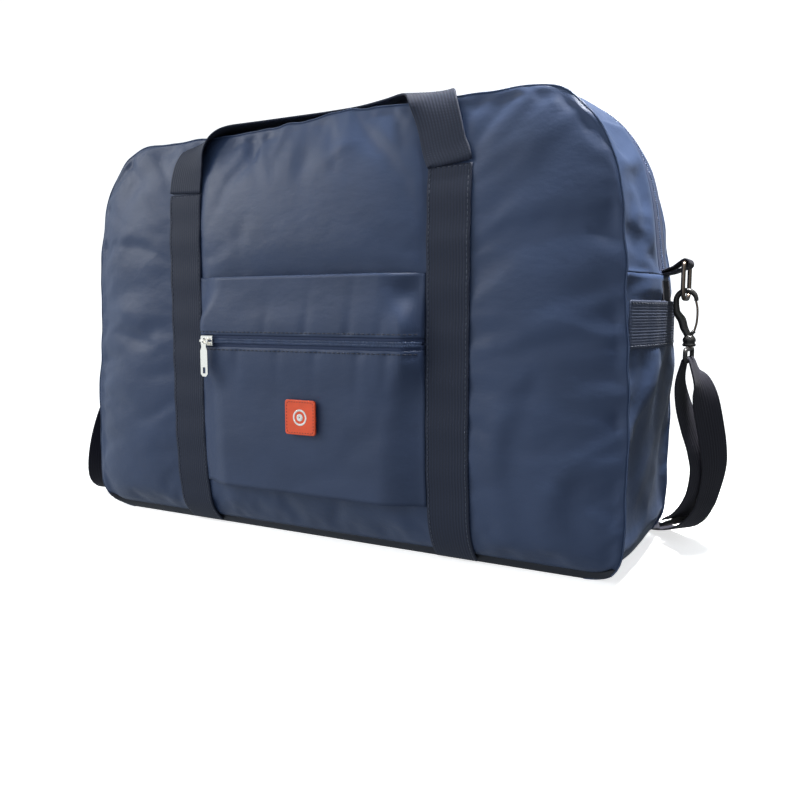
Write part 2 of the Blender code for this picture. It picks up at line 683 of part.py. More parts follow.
def build_hardware():
    for side, word in ((1, "right"), (-1, "left")):
        ring_tab(word, side)
        d_ring(word, side)
        snap_hook(word, side)
        swivel_eye(word, side)


# ---- shoulder strap -----------------------------------------------------------------------
# The strap's route, as places and width directions. It starts as the inner layer at the
# adjuster, climbs to the right hook's eye, turns over its bar, comes down as the outer layer,
# runs on under the adjuster and round behind the bag, and climbs to the left hook.
RETURN_RUN = [
    ((0.2578, 0.0612, 0.0198), (0.66, 0.75, 0)),
    ((0.2672, 0.0500, 0.0308), (0.45, 0.89, 0)),
    ((0.2765, 0.0370, 0.0475), (0.46, 0.89, 0)),
    ((0.2808, 0.0265, 0.0690), (0.48, 0.88, 0)),
    ((0.2790, 0.0185, 0.0845), (0.46, 0.89, 0)),
    ((0.2737, 0.0120, 0.1020), (0.38, 0.92, 0)),
    ((0.2690, 0.0060, 0.1190), (0.25, 0.97, 0)),
    ((0.2672, 0.0015, 0.1350), (0.10, 1, 0)),
]
OUTER_RUN = [
    ((0.2785, 0.0000, 0.1410), (0.10, 1, 0)),
    ((0.2818, 0.0035, 0.1320), (0.42, 0.91, 0)),
    ((0.2845, 0.0085, 0.1200), (0.58, 0.81, 0)),
    ((0.2868, 0.0150, 0.1050), (0.60, 0.80, 0)),
    ((0.2888, 0.0240, 0.0870), (0.58, 0.81, 0)),
    ((0.2890, 0.0350, 0.0680), (0.54, 0.84, 0)),
    ((0.2850, 0.0465, 0.0470), (0.50, 0.87, 0)),
    ((0.2800, 0.0520, 0.0315), (0.50, 0.86, 0)),
    ((0.2705, 0.0590, 0.0175), (0.60, 0.80, 0)),
    ((0.2560, 0.0740, 0.0075), (0.68, 0.73, 0)),
    ((0.2370, 0.0930, 0.0025), (0.62, 0.78, 0)),
    ((0.2110, 0.1120, 0.0016), (0.50, 0.87, 0)),
    ((0.1750, 0.1280, 0.0016), (0.33, 0.94, 0)),
    ((0.1250, 0.1400, 0.0016), (0.18, 0.98, 0)),
    ((0.0600, 0.1480, 0.0016), (0.08, 1, 0)),
    ((-0.0100, 0.1500, 0.0016), (-0.02, 1, 0)),
    ((-0.0800, 0.1460, 0.0016), (-0.12, 0.99, 0)),
    ((-0.1450, 0.1350, 0.0016), (-0.25, 0.97, 0)),
    ((-0.2000, 0.1190, 0.0016), (-0.42, 0.90, 0)),
    ((-0.2430, 0.0950, 0.0016), (-0.62, 0.78, 0)),
    ((-0.2700, 0.0640, 0.0016), (-0.86, 0.50, 0)),
    ((-0.2820, 0.0310, 0.0016), (-0.97, 0.22, 0)),
    ((-0.2860, -0.0020, 0.0020), (-1, 0.03, 0)),
    ((-0.2850, -0.0290, 0.0055), (-0.94, -0.34, 0)),
    ((-0.2815, -0.0440, 0.0200), (-0.68, -0.73, 0)),
    ((-0.2790, -0.0470, 0.0430), (-0.40, -0.92, 0)),
    ((-0.2780, -0.0410, 0.0700), (-0.22, -0.98, 0)),
    ((-0.2780, -0.0280, 0.0970), (-0.10, -0.99, 0)),
    ((-0.2780, -0.0120, 0.1210), (-0.03, -1, 0)),
    ((-0.2785, -0.0030, 0.1380), (0, -1, 0)),
]
ADJUSTER_AT = 9           # the outer run's point where the adjuster sits


def over_the_bar(side, first, last):
    """The strap's turn over an eye's lower bar, in degrees seen along Y."""
    radius = EYE_WIRE + GAP + STRAP_THICK / 2
    centre = (HOOK_X, EYE_BOTTOM_Z)
    turn = [((side * x, 0, z), (0, side, 0)) for x, z in arc(centre, radius, first, last, 5)]
    return turn


def build_strap():
    right = over_the_bar(1, 180, 0)
    left = over_the_bar(-1, 0, 180)
    sewn = [((-0.2675, 0, 0.1400), (0, -1, 0)), ((-0.2690, -0.0010, 0.1280), (0, -1, 0))]
    route = RETURN_RUN + right + OUTER_RUN + left + sewn
    steps = 2
    path = smooth_path([place for place, _ in route], steps)
    across = smooth_path([width for _, width in route], steps)
    ribbon("shoulder_strap", path, across, STRAP, STRAP_THICK, "black_webbing")
    adjuster()


def adjuster():
    """Three-bar slide adjuster: a flat frame on the strap with two slots."""
    here, width = (Vector(v) for v in OUTER_RUN[ADJUSTER_AT - 1])
    ahead = Vector(OUTER_RUN[ADJUSTER_AT][0])
    along = (ahead - here).normalized()
    width = (width - width.dot(along) * along).normalized()
    normal = along.cross(width)
    if normal.z < 0:
        width, normal = -width, -normal
    thickness = 0.0028
    centre = here.lerp(ahead, 0.35) + normal * (STRAP_THICK / 2 + GAP + thickness / 2 + 0.0017)
    frame = frame_at(centre, along, width)
    length, breadth = 0.0220, 0.0320
    plate = prism("strap_adjuster", [(-length / 2, -breadth / 2), (length / 2, -breadth / 2),
                                     (length / 2, breadth / 2), (-length / 2, breadth / 2)],
                  thickness, frame, "black_plastic")
    for side in (-1, 1):
        low, high = sorted((side * 0.0018, side * 0.0080))
        half = STRAP / 2 + 0.0006
        slot = prism("strap_adjuster_slot", [(low, -half), (high, -half), (high, half), (low, half)],
                     3 * thickness, frame, None)
        combine(plate, slot, "DIFFERENCE")


def main():
    clear_scene()
    build_body()
    build_sleeve()
    build_main_sliders()
    build_pocket_slider()
    build_webbing()
    build_hardware()
    build_strap()


main()
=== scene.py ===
"""Looks of the foldable travel tote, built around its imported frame.

Metres, +Z up, the trolley sleeve faces -Y. The body is one closed shell that is filled by a
cloth simulation and then split at its seams; everything sewn to it keeps the frame's places.
"""
import math

import bpy
import numpy as np
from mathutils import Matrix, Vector


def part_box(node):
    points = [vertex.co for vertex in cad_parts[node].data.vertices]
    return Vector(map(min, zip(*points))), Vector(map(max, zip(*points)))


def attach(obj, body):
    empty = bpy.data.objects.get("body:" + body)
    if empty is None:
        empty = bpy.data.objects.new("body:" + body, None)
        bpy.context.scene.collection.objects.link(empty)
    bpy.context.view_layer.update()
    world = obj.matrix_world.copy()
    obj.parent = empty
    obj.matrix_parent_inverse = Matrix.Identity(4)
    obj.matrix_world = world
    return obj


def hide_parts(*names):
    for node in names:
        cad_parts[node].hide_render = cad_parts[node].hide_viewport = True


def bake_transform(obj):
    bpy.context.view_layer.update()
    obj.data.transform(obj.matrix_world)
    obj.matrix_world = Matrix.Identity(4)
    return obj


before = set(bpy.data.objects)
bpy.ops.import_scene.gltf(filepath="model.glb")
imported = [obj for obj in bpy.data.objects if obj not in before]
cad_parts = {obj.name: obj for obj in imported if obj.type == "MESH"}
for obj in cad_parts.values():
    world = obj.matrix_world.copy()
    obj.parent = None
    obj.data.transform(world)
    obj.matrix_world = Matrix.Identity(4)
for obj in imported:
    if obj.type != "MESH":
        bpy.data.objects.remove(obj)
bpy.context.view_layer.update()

# ---- sizes read from the frame ------------------------------------------------------------
FACE_LOW, FACE_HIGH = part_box("front_panel")
HALF_WIDTH = FACE_HIGH.x
HEIGHT = FACE_HIGH.z
FACE_FRONT = -FACE_LOW.y
END_SEAM_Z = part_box("right_end_panel")[1].z
WEB_LOW, WEB_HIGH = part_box("front_webbing_right")
WEBBING_X = (WEB_LOW.x + WEB_HIGH.x) / 2
WEBBING = WEB_HIGH.x - WEB_LOW.x
STITCH_Z = WEB_HIGH.z
SLEEVE_LOW, SLEEVE_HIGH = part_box("sleeve_lower_panel")
SLEEVE_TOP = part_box("sleeve_upper_panel")[1].z
CHAIN_LOW, CHAIN_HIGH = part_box("pocket_zip_chain")
POCKET_ZIP_Z = (CHAIN_LOW.z + CHAIN_HIGH.z) / 2
ZIP_TAPE_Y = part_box("main_zip_tape_rear")[1].y
BAND_LOW, BAND_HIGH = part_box("right_end_band")

# ---- the body's shape, as the part's source has it ----------------------------------------
FACE_BULGE = 0.009
HALF_DEPTH = FACE_FRONT - FACE_BULGE
BULGE_REACH = 0.100
TOP_RADIUS = 0.085
BASE_RADIUS = 0.028
BASE_TUCK = 0.013
GUSSET_CROWN = 0.010
CROWN_START_Z = 0.070
SHOULDER_Z, SHOULDER_SPAN, SHOULDER_SAG = 0.285, 0.050, 0.55
FABRIC = 0.0015
GAP = 0.0003
CHAIN_RISE = 0.0012
SLEEVE_STAND = 0.0150
SLEEVE_RAMP = 0.0145
SLEEVE_HALF = SLEEVE_HIGH.x
CLOTH_THICK = 0.0007
FACE_CENTRE_Z = 0.165
GUSSET_FREEDOM, FACE_FREEDOM = 0.0032, 0.0085     # how far filled cloth stands out at most
FACE_FOLDING, END_FOLDING = 0.85, 0.75            # strength of the folds listed below
HEIGHT_TOLERANCE = 1e-4


def seam_depth(z):
    t = np.clip(1 - np.asarray(z, float) / BASE_RADIUS, 0, 1)
    return HALF_DEPTH - BASE_TUCK * t ** 2


def outline_distance(x, z):
    """Distance inside the faces' rounded outline."""
    x, z = np.abs(np.asarray(x, float)), np.asarray(z, float)
    middle = HEIGHT / 2
    radius = np.where(z > middle, TOP_RADIUS, BASE_RADIUS)
    qx = x - (HALF_WIDTH - radius)
    qz = np.abs(z - middle) - (middle - radius)
    outside = np.hypot(np.maximum(qx, 0), np.maximum(qz, 0))
    return radius - outside - np.minimum(np.maximum(qx, qz), 0)


def bulge(distance):
    t = np.clip(distance / BULGE_REACH, 0, 1)
    return FACE_BULGE * (1 - (1 - t) ** 2)


def face_depth(x, z):
    return seam_depth(z) + bulge(outline_distance(x, z))


def crown(y, z):
    """How far the gusset stands out past the faces' outline."""
    z = np.asarray(z, float)
    fade = step(z, 0, CROWN_START_Z)
    sag = SHOULDER_SAG * np.clip(1 - ((z - SHOULDER_Z) / SHOULDER_SPAN) ** 2, 0, 1) ** 2
    return GUSSET_CROWN * fade * (1 - sag) * (1 - (np.asarray(y, float) / HALF_DEPTH) ** 2)


# ---- general helpers ----------------------------------------------------------------------
def unit(vectors):
    return vectors / np.linalg.norm(vectors, axis=-1, keepdims=True)


def facing(direction, count):
    """The same direction for each of count points."""
    return np.tile(np.array(direction, float), (count, 1))


def run_of(path):
    """Distance along a line at each of its points."""
    return np.concatenate([[0], np.cumsum(np.linalg.norm(np.diff(path, axis=0), axis=1))])


def step(value, low, high):
    """0 below low, 1 above high, and smooth between them."""
    t = np.clip((np.asarray(value, float) - low) / (high - low), 0, 1)
    return t * t * (3 - 2 * t)


def bell(value, centre, width):
    return np.exp(-0.5 * ((np.asarray(value, float) - centre) / width) ** 2)


def interpolate(places, run, line):
    """Points of a line at the given distances along it."""
    return np.stack([np.interp(places, run, line[:, k]) for k in range(line.shape[1])], axis=1)


def flat_arc(centre, radius, start, end, steps):
    """Part of a circle, in degrees, as points in a plane."""
    turn = np.radians(np.linspace(start, end, steps + 1))
    return [(centre[0] + radius * math.cos(t), centre[1] + radius * math.sin(t)) for t in turn]


def fasten(piece, body="bag", node=None):
    """The piece rides a body, and may replace a node of the frame."""
    if node:
        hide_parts(node)
    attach(piece, body)
    return piece


def link(name, data):
    obj = bpy.data.objects.new(name, data)
    bpy.context.scene.collection.objects.link(obj)
    return obj


def mesh_object(name, points, faces, smooth=True, uvs=None):
    """An object from points and faces; uvs holds a (u, v) in metres for each point."""
    mesh = bpy.data.meshes.new(name)
    mesh.from_pydata([tuple(p) for p in points], [], [tuple(f) for f in faces])
    if smooth:
        mesh.shade_smooth()
    if uvs is not None:
        layer = mesh.uv_layers.new(name="cut")
        corners = np.zeros(len(mesh.loops), np.int32)
        mesh.loops.foreach_get("vertex_index", corners)
        layer.data.foreach_set("uv", np.asarray(uvs, np.float32)[corners].ravel())
    return link(name, mesh)


# ---- the body shell -----------------------------------------------------------------------
def corner_arc(side, up, start, end):
    """Part of a rounded corner of the outline, in degrees, as (x, z) points."""
    radius = TOP_RADIUS if up else BASE_RADIUS
    centre = (side * (HALF_WIDTH - radius), HEIGHT - radius if up else radius)
    return flat_arc(centre, radius, start, end, 39)


def resample(line, places):
    """Points at the given fractions of a polyline's length."""
    line = np.array(line, float)
    run = run_of(line)
    return interpolate(np.array(places) * run[-1], run, line)


def snapped(places, line, axis, value):
    """Places along a line, with the nearest one moved to where a coordinate has a value."""
    dense = np.linspace(0, 1, 2001)
    hit = dense[np.argmin(np.abs(resample(line, dense)[:, axis] - value))]
    places = np.array(places)
    places[np.argmin(np.abs(places - hit))] = hit
    return places


def graded(count, edge):
    """Fractions from 0 to 1, evenly spaced but for one narrow step at each end."""
    return np.concatenate([[0, edge], np.linspace(edge * 3, 1 - edge * 3, count), [1 - edge, 1]])


LOWER = corner_arc(-1, False, 225, 270) + corner_arc(1, False, 270, 315)
RIGHT = corner_arc(1, False, 315, 360) + corner_arc(1, True, 0, 45)
UPPER = corner_arc(-1, True, 135, 90) + corner_arc(1, True, 90, 45)
ACROSS = graded(96, 0.0042)
UPWARD = snapped(graded(66, 0.0060), RIGHT, 1, END_SEAM_Z)
for split in (-1, 1):
    ACROSS = snapped(ACROSS, LOWER, 0, split * (HALF_WIDTH - BASE_RADIUS))
DEPTH_STEPS = np.array([1, 0.973, 0.91, 0.81, 0.71, 0.61, 0.51, 0.41, 0.31,
                        ZIP_TAPE_Y / HALF_DEPTH, 0.10])
DEPTH_STEPS = np.concatenate([-DEPTH_STEPS, [0], DEPTH_STEPS[::-1]])
BASE_ROWS = 2             # the faces' lowest rows belong to the base, painted near-black as the shade under the bag
SEAM_SINK = 0.0020        # how far the seam lies below the cloth on either side


def face_grid():
    """Grid of (x, z) points that fills the rounded outline, indexed [up][across]."""
    low, high = resample(LOWER, ACROSS), resample(UPPER, ACROSS)
    right = resample(RIGHT, UPWARD)
    left = right * (-1, 1)
    u, v = ACROSS[None, :, None], UPWARD[:, None, None]
    sides = (1 - v) * low[None] + v * high[None] + (1 - u) * left[:, None] + u * right[:, None]
    corners = ((1 - u) * (1 - v) * low[0] + u * (1 - v) * low[-1]
               + (1 - u) * v * high[0] + u * v * high[-1])
    return sides - corners


def rim_of(rows, columns):
    """Grid indices round the edge: bottom, right, top, left."""
    return ([(0, j) for j in range(columns - 1)] + [(i, columns - 1) for i in range(rows - 1)]
            + [(rows - 1, j) for j in range(columns - 1, 0, -1)]
            + [(i, 0) for i in range(rows - 1, 0, -1)])


class Shell:
    """The closed body: points, quads, the panel each quad belongs to, and flat coordinates."""

    def __init__(self):
        grid = face_grid()
        rows, columns = grid.shape[:2]
        rim = rim_of(rows, columns)
        depth = face_depth(grid[..., 0], grid[..., 1])
        self.points, self.quads, self.panel, self.cut = [], [], [], []
        numbers = {}
        for side in (-1, 1):
            for i in range(rows):
                for j in range(columns):
                    numbers[side, i, j] = len(self.points)
                    x, z = grid[i, j]
                    self.points.append((x, side * depth[i, j], z))
            for i in range(rows - 1):
                for j in range(columns - 1):
                    corners = [(i, j), (i, j + 1), (i + 1, j + 1), (i + 1, j)][::-side]
                    panel = "front_panel" if side < 0 else "back_panel"
                    self.add([numbers[(side, *c)] for c in corners],
                             "base_panel" if i < BASE_ROWS else panel,
                             [(grid[c][0], grid[c][1]) for c in corners])
        self.seams = [numbers[side, i, j] for side in (-1, 1) for i, j in rim]
        self.seams += [numbers[side, BASE_ROWS, j] for side in (-1, 1) for j in range(columns)]
        self.add_gusset(grid, rim, numbers)
        self.points = np.array(self.points, float)

    def add(self, quad, panel, cut):
        self.quads.append(quad)
        self.panel.append(panel)
        self.cut.append(cut)

    def add_gusset(self, grid, rim, numbers):
        edge = np.array([grid[c] for c in rim])
        ahead, behind = np.roll(edge, -1, axis=0), np.roll(edge, 1, axis=0)
        along = ahead - behind
        normal = unit(np.stack([along[:, 1], -along[:, 0]], axis=1))
        run = run_of(edge)
        columns = []
        for s, (x, z) in enumerate(edge):
            deep = float(seam_depth(z))
            ids = [numbers[(-1, *rim[s])]]
            for share in DEPTH_STEPS[1:-1]:
                y = share * deep
                out = float(crown(y, z))
                ids.append(len(self.points))
                self.points.append((x + normal[s, 0] * out, y, z + normal[s, 1] * out))
            ids.append(numbers[(1, *rim[s])])
            columns.append(ids)
        count = len(rim)
        for s in range(count):
            n = (s + 1) % count
            middle = (edge[s] + edge[n]) / 2
            for k in range(len(DEPTH_STEPS) - 1):
                y = (DEPTH_STEPS[k] + DEPTH_STEPS[k + 1]) / 2 * HALF_DEPTH
                cut = [(DEPTH_STEPS[a] * HALF_DEPTH, run[b])
                       for a, b in ((k, s), (k, n), (k + 1, n), (k + 1, s))]
                self.add([columns[s][k], columns[n][k], columns[n][k + 1], columns[s][k + 1]],
                         self.gusset_panel(middle, y), cut)
        self.columns = columns
        self.end_seams = [ids for ids, place in zip(columns, edge)
                          if abs(place[1] - END_SEAM_Z) < HEIGHT_TOLERANCE]

    @staticmethod
    def gusset_panel(middle, y):
        x, z = middle
        word = "front" if y < 0 else "rear"
        if z > END_SEAM_Z:
            return ("main_zip_tape_" if abs(y) < ZIP_TAPE_Y else "top_gusset_") + word
        if abs(x) < HALF_WIDTH - BASE_RADIUS + 0.001 and z < 0.001:
            return "base_panel"
        return ("right" if x > 0 else "left") + "_end_panel"


def sink_seams(shell, points):
    """Draw every seam slightly into the body, so that the cloth swells on either side of it."""
    points = points.copy()
    normals = point_normals(points, shell.quads)
    sunk = np.zeros(len(points))
    sunk[shell.seams] = SEAM_SINK
    for ids in shell.end_seams:
        sunk[ids[1:-1]] = SEAM_SINK * 0.9
    sunk[points[:, 2] < 0.001] = 0
    return points - normals * sunk[:, None]


def point_normals(points, quads):
    quads = np.array(quads)
    a, b, c, d = (points[quads[:, k]] for k in range(4))
    face = np.cross(c - a, d - b)
    normals = np.zeros_like(points)
    for k in range(4):
        np.add.at(normals, quads[:, k], face)
    return normals / np.maximum(np.linalg.norm(normals, axis=1), 1e-12)[:, None]


def pinned(points, shell):
    """How firmly each point is held: seams, base, zip, and cloth under sewn webbing."""
    x, y, z = np.abs(points[:, 0]), points[:, 1], points[:, 2]
    hold = np.zeros(len(points))
    on_face = np.abs(y) > seam_depth(z) - 0.001
    hold[on_face & (np.abs(x - WEBBING_X) < WEBBING / 2 + 0.001) & (z < STITCH_Z + 0.003)] = 1
    hold[(np.abs(y) < ZIP_TAPE_Y + 0.0005) & (z > END_SEAM_Z - 0.001)] = 1
    on_end = (x > HALF_WIDTH - 0.001) & (np.abs(y) < seam_depth(z) - 0.001)
    hold[on_end & (z > BAND_LOW.z - 0.002) & (z < BAND_HIGH.z + 0.002)] = 1
    hold[z < 0.0015] = 1
    hold[shell.seams] = 1
    for ids in shell.end_seams:
        hold[ids] = 1
    return hold


PRESSURE, CLOTH_GROWTH, CLOTH_FRAMES = 2.4, 0.012, 20
STIFFNESS, SHEAR_STIFFNESS, BENDING_STIFFNESS = 18, 6, 0.6


def fill_with_air(points, quads, hold):
    """Cloth simulation: the held points stay, the rest is cut larger and is blown up."""
    obj = mesh_object("body_cloth", points, quads, smooth=False)
    group = obj.vertex_groups.new(name="held")
    for weight in np.unique(hold):
        if weight > 0:
            group.add([int(k) for k in np.nonzero(hold == weight)[0]], float(weight), "REPLACE")
    cloth = obj.modifiers.new("cloth", "CLOTH")
    settings = cloth.settings
    settings.vertex_group_mass = "held"
    settings.quality = 6
    settings.mass = 0.25
    settings.tension_stiffness = STIFFNESS
    settings.compression_stiffness = STIFFNESS
    settings.shear_stiffness = SHEAR_STIFFNESS
    settings.bending_stiffness = BENDING_STIFFNESS
    settings.air_damping = 4
    settings.use_pressure = True
    settings.uniform_pressure_force = PRESSURE
    settings.shrink_min = -CLOTH_GROWTH
    settings.effector_weights.gravity = 0
    cloth.collision_settings.use_collision = False
    cloth.point_cache.frame_start = 1
    cloth.point_cache.frame_end = CLOTH_FRAMES
    scene = bpy.context.scene
    for number in range(1, CLOTH_FRAMES + 1):
        scene.frame_set(number)
    solved = obj.evaluated_get(bpy.context.evaluated_depsgraph_get()).to_mesh()
    result = np.zeros(len(solved.vertices) * 3)
    solved.vertices.foreach_get("co", result)
    bpy.data.objects.remove(obj, do_unlink=True)
    scene.frame_set(1)
    return result.reshape(-1, 3)


# ---- node materials -----------------------------------------------------------------------
class Nodes:
    """Short way to write a node tree."""

    def __init__(self, name, colour, roughness, metallic=0.0):
        self.material = bpy.data.materials.new(name)
        self.material.use_nodes = True
        self.tree = self.material.node_tree
        self.shader = self.tree.nodes["Principled BSDF"]
        self.colour = colour
        self.give("Base Color", (*colour, 1))
        self.give("Roughness", roughness)
        self.give("Metallic", metallic)

    def give(self, socket, source):
        self.put(source, self.shader.inputs[socket])

    def new(self, kind, **values):
        node = self.tree.nodes.new("ShaderNode" + kind)
        for key, value in values.items():
            setattr(node, key, value)
        return node

    def put(self, source, target):
        if isinstance(source, (int, float, tuple)):
            target.default_value = source
        else:
            self.tree.links.new(source, target)

    def math(self, operation, first, second=0.0):
        node = self.new("Math", operation=operation)
        self.put(first, node.inputs[0])
        self.put(second, node.inputs[1])
        return node.outputs[0]

    def stripes(self, coordinate, period):
        """A wave from 0 to 1 along one coordinate, in metres."""
        wave = self.math("SINE", self.math("MULTIPLY", coordinate, math.tau / period))
        return self.math("ADD", self.math("MULTIPLY", wave, 0.5), 0.5)

    def noise(self, vector, size, detail=3.0, stretch=None):
        if stretch:
            stretched = self.new("VectorMath", operation="MULTIPLY")
            self.put(vector, stretched.inputs[0])
            stretched.inputs[1].default_value = stretch
            vector = stretched.outputs[0]
        node = self.new("TexNoise")
        self.put(vector, node.inputs["Vector"])
        node.inputs["Scale"].default_value = 1 / size
        node.inputs["Detail"].default_value = detail
        return node.outputs["Fac"]

    def ramp(self, value, first, second, low=0.3, high=0.7):
        node = self.new("ValToRGB")
        node.color_ramp.elements[0].position = low
        node.color_ramp.elements[1].position = high
        node.color_ramp.elements[0].color = (*first, 1)
        node.color_ramp.elements[1].color = (*second, 1)
        self.put(value, node.inputs["Fac"])
        return node.outputs["Color"]

    def bump(self, height, distance, strength=1.0):
        node = self.new("Bump")
        node.inputs["Distance"].default_value = distance
        node.inputs["Strength"].default_value = strength
        self.put(height, node.inputs["Height"])
        if self.shader.inputs["Normal"].is_linked:
            self.put(self.shader.inputs["Normal"].links[0].from_socket, node.inputs["Normal"])
        self.put(node.outputs["Normal"], self.shader.inputs["Normal"])

    def tint(self, value, low, high, *ends):
        """The colour, from low to high times its brightness as the value goes from 0 to 1."""
        colours = [tuple(min(c * factor, 1) for c in self.colour) for factor in (low, high)]
        self.give("Base Color", self.ramp(value, *colours, *ends))

    def cloth_plane(self):
        """The (u, v) of the cut cloth, in metres, and the vector that holds them."""
        layer = self.new("UVMap", uv_map="cut")
        split = self.new("SeparateXYZ")
        self.put(layer.outputs["UV"], split.inputs[0])
        return split.outputs["X"], split.outputs["Y"], layer.outputs["UV"]

    def place(self):
        return self.new("TexCoord").outputs["Object"]


def nylon(name, colour, roughness=0.42, sheen=0.07):
    """Tightly woven nylon: a fine weave, a soft sheen, and faint creases from being folded."""
    n = Nodes(name, colour, roughness)
    u, v, plane = n.cloth_plane()
    wear = n.noise(plane, 0.055)
    n.tint(wear, 0.90, 1.10)
    dull = n.math("MULTIPLY", n.noise(plane, 0.02), 0.12)
    n.give("Roughness", n.math("ADD", dull, roughness - 0.06))
    n.give("Specular IOR Level", 0.32)
    n.give("Sheen Weight", sheen)
    n.give("Sheen Roughness", 0.35)
    n.give("Sheen Tint", (0.62, 0.74, 1.0, 1))
    n.bump(n.noise(plane, 0.020, 4.0, (1.0, 1.7, 1.0)), 0.0016, 0.35)
    weave = n.math("MULTIPLY", n.stripes(u, 0.00075), n.stripes(v, 0.00075))
    n.bump(weave, 0.00008, 0.5)
    return n.material


def webbing_weave(name, colour, roughness=0.62, ribs=0.0023):
    """Woven tape: lengthwise ribs with fine picks across, and painted shade in the grooves between
    the ribs.
    """
    n = Nodes(name, colour, roughness)
    u, v, _ = n.cloth_plane()
    rib = n.stripes(u, ribs)
    pick = n.stripes(n.math("ADD", v, n.math("MULTIPLY", u, 0.5)), 0.0011)
    # painted shade: the colour darkens in the grooves between the ribs
    n.tint(rib, 0.78, 1.12, 0.1, 0.8)
    n.give("Specular IOR Level", 0.25)
    n.give("Sheen Weight", 0.03)
    n.give("Sheen Roughness", 0.5)
    n.bump(n.math("MULTIPLY", pick, rib), 0.00016, 0.6)
    return n.material


def thread(name, colour):
    n = Nodes(name, colour, 0.7)
    n.tint(n.noise(n.place(), 0.004), 0.8, 1.2)
    n.give("Sheen Weight", 0.2)
    return n.material


def moulded(name, colour, roughness=0.38):
    """Moulded plastic with a faint grain."""
    n = Nodes(name, colour, roughness)
    n.tint(n.noise(n.place(), 0.006), 0.85, 1.15)
    n.bump(n.noise(n.place(), 0.0006), 0.00004, 0.5)
    return n.material


def cast_metal(name, colour, roughness=0.22):
    """Plated cast metal, a little scuffed."""
    n = Nodes(name, colour, roughness, 1.0)
    scuff = n.noise(n.place(), 0.0025, 5.0)
    n.give("Roughness", n.math("ADD", n.math("MULTIPLY", scuff, 0.18), roughness - 0.06))
    n.bump(n.noise(n.place(), 0.0012), 0.00003, 0.4)
    return n.material


def leather(name, colour):
    n = Nodes(name, colour, 0.45)
    n.tint(n.noise(n.place(), 0.012), 0.88, 1.08)
    n.bump(n.noise(n.place(), 0.0009, 4.0), 0.00018, 0.6)
    return n.material


NAVY = (0.031, 0.050, 0.106)
MATERIALS = {}


def build_materials():
    MATERIALS.update({
        "navy_nylon": nylon("navy_nylon", NAVY),
        # the gusset nylon is the face nylon painted brighter and bluer: painted sheen of the lit
        # ends
        "gusset_sheen_nylon": nylon("gusset_sheen_nylon", (0.037, 0.058, 0.118), 0.40, 0.05),
        # the base's near-black colour is painted shade: the shadow along the bottom of the bag
        "base_shade_nylon": nylon("base_shade_nylon", (0.010, 0.012, 0.020), 0.55, 0.1),
        "sleeve_nylon": nylon("sleeve_nylon", (0.034, 0.052, 0.106), 0.47, 0.05),
        "lining_nylon": nylon("lining_nylon", (0.020, 0.028, 0.052), 0.6, 0.1),
        "navy_webbing": webbing_weave("navy_webbing", (0.0166, 0.0220, 0.0420)),
        "band_webbing": webbing_weave("band_webbing", (0.050, 0.062, 0.102)),
        "black_webbing": webbing_weave("black_webbing", (0.0200, 0.0195, 0.0290)),
        "zip_tape": webbing_weave("zip_tape", (0.026, 0.041, 0.094), 0.6, 0.0007),
        "zip_coil": moulded("zip_coil", (0.066, 0.098, 0.190)),
        "navy_thread": thread("navy_thread", (0.034, 0.043, 0.070)),
        "dark_thread": thread("dark_thread", (0.010, 0.014, 0.030)),
        "black_thread": thread("black_thread", (0.008, 0.008, 0.010)),
        "orange_thread": thread("orange_thread", (0.34, 0.036, 0.014)),
        "white_print": thread("white_print", (0.86, 0.84, 0.80)),
        "polished_metal": cast_metal("polished_metal", (0.93, 0.90, 0.83)),
        "black_plastic": moulded("black_plastic", (0.020, 0.019, 0.018)),
        "dark_metal": cast_metal("dark_metal", (0.20, 0.155, 0.125), 0.26),
        "orange_leather": leather("orange_leather", (0.82, 0.088, 0.022)),
    })


def dress(obj, kind):
    obj.data.materials.clear()
    obj.data.materials.append(MATERIALS[kind])
    return obj


# ---- camera, light and floor --------------------------------------------------------------
def aimed(obj, place, target):
    obj.location = place
    obj.rotation_euler = (Vector(target) - Vector(place)).to_track_quat("-Z", "Y").to_euler()


def area_light(name, place, target, size, power, spread=180):
    light = bpy.data.lights.new(name, "AREA")
    light.shape = "RECTANGLE"
    light.size, light.size_y = size
    light.energy = power
    light.spread = math.radians(spread)
    aimed(link(name, light), place, target)


def soft_sky(world):
    """Soft light from the upper left in front, which fades towards the right."""
    world.use_nodes = True
    tree = world.node_tree
    glow = tree.nodes["Background"]
    direction = tree.nodes.new("ShaderNodeTexCoord")
    towards = tree.nodes.new("ShaderNodeVectorMath")
    towards.operation = "DOT_PRODUCT"
    towards.inputs[1].default_value = (-0.70, -0.50, 0.32)
    fade = tree.nodes.new("ShaderNodeMapRange")
    fade.inputs["From Min"].default_value = -0.55
    fade.inputs["From Max"].default_value = 0.95
    fade.inputs["To Min"].default_value = 0.17
    fade.inputs["To Max"].default_value = 1.02
    tree.links.new(direction.outputs["Generated"], towards.inputs[0])
    tree.links.new(towards.outputs["Value"], fade.inputs["Value"])
    tree.links.new(fade.outputs["Result"], glow.inputs["Strength"])
    glow.inputs["Color"].default_value = (0.88, 0.95, 1.0, 1)


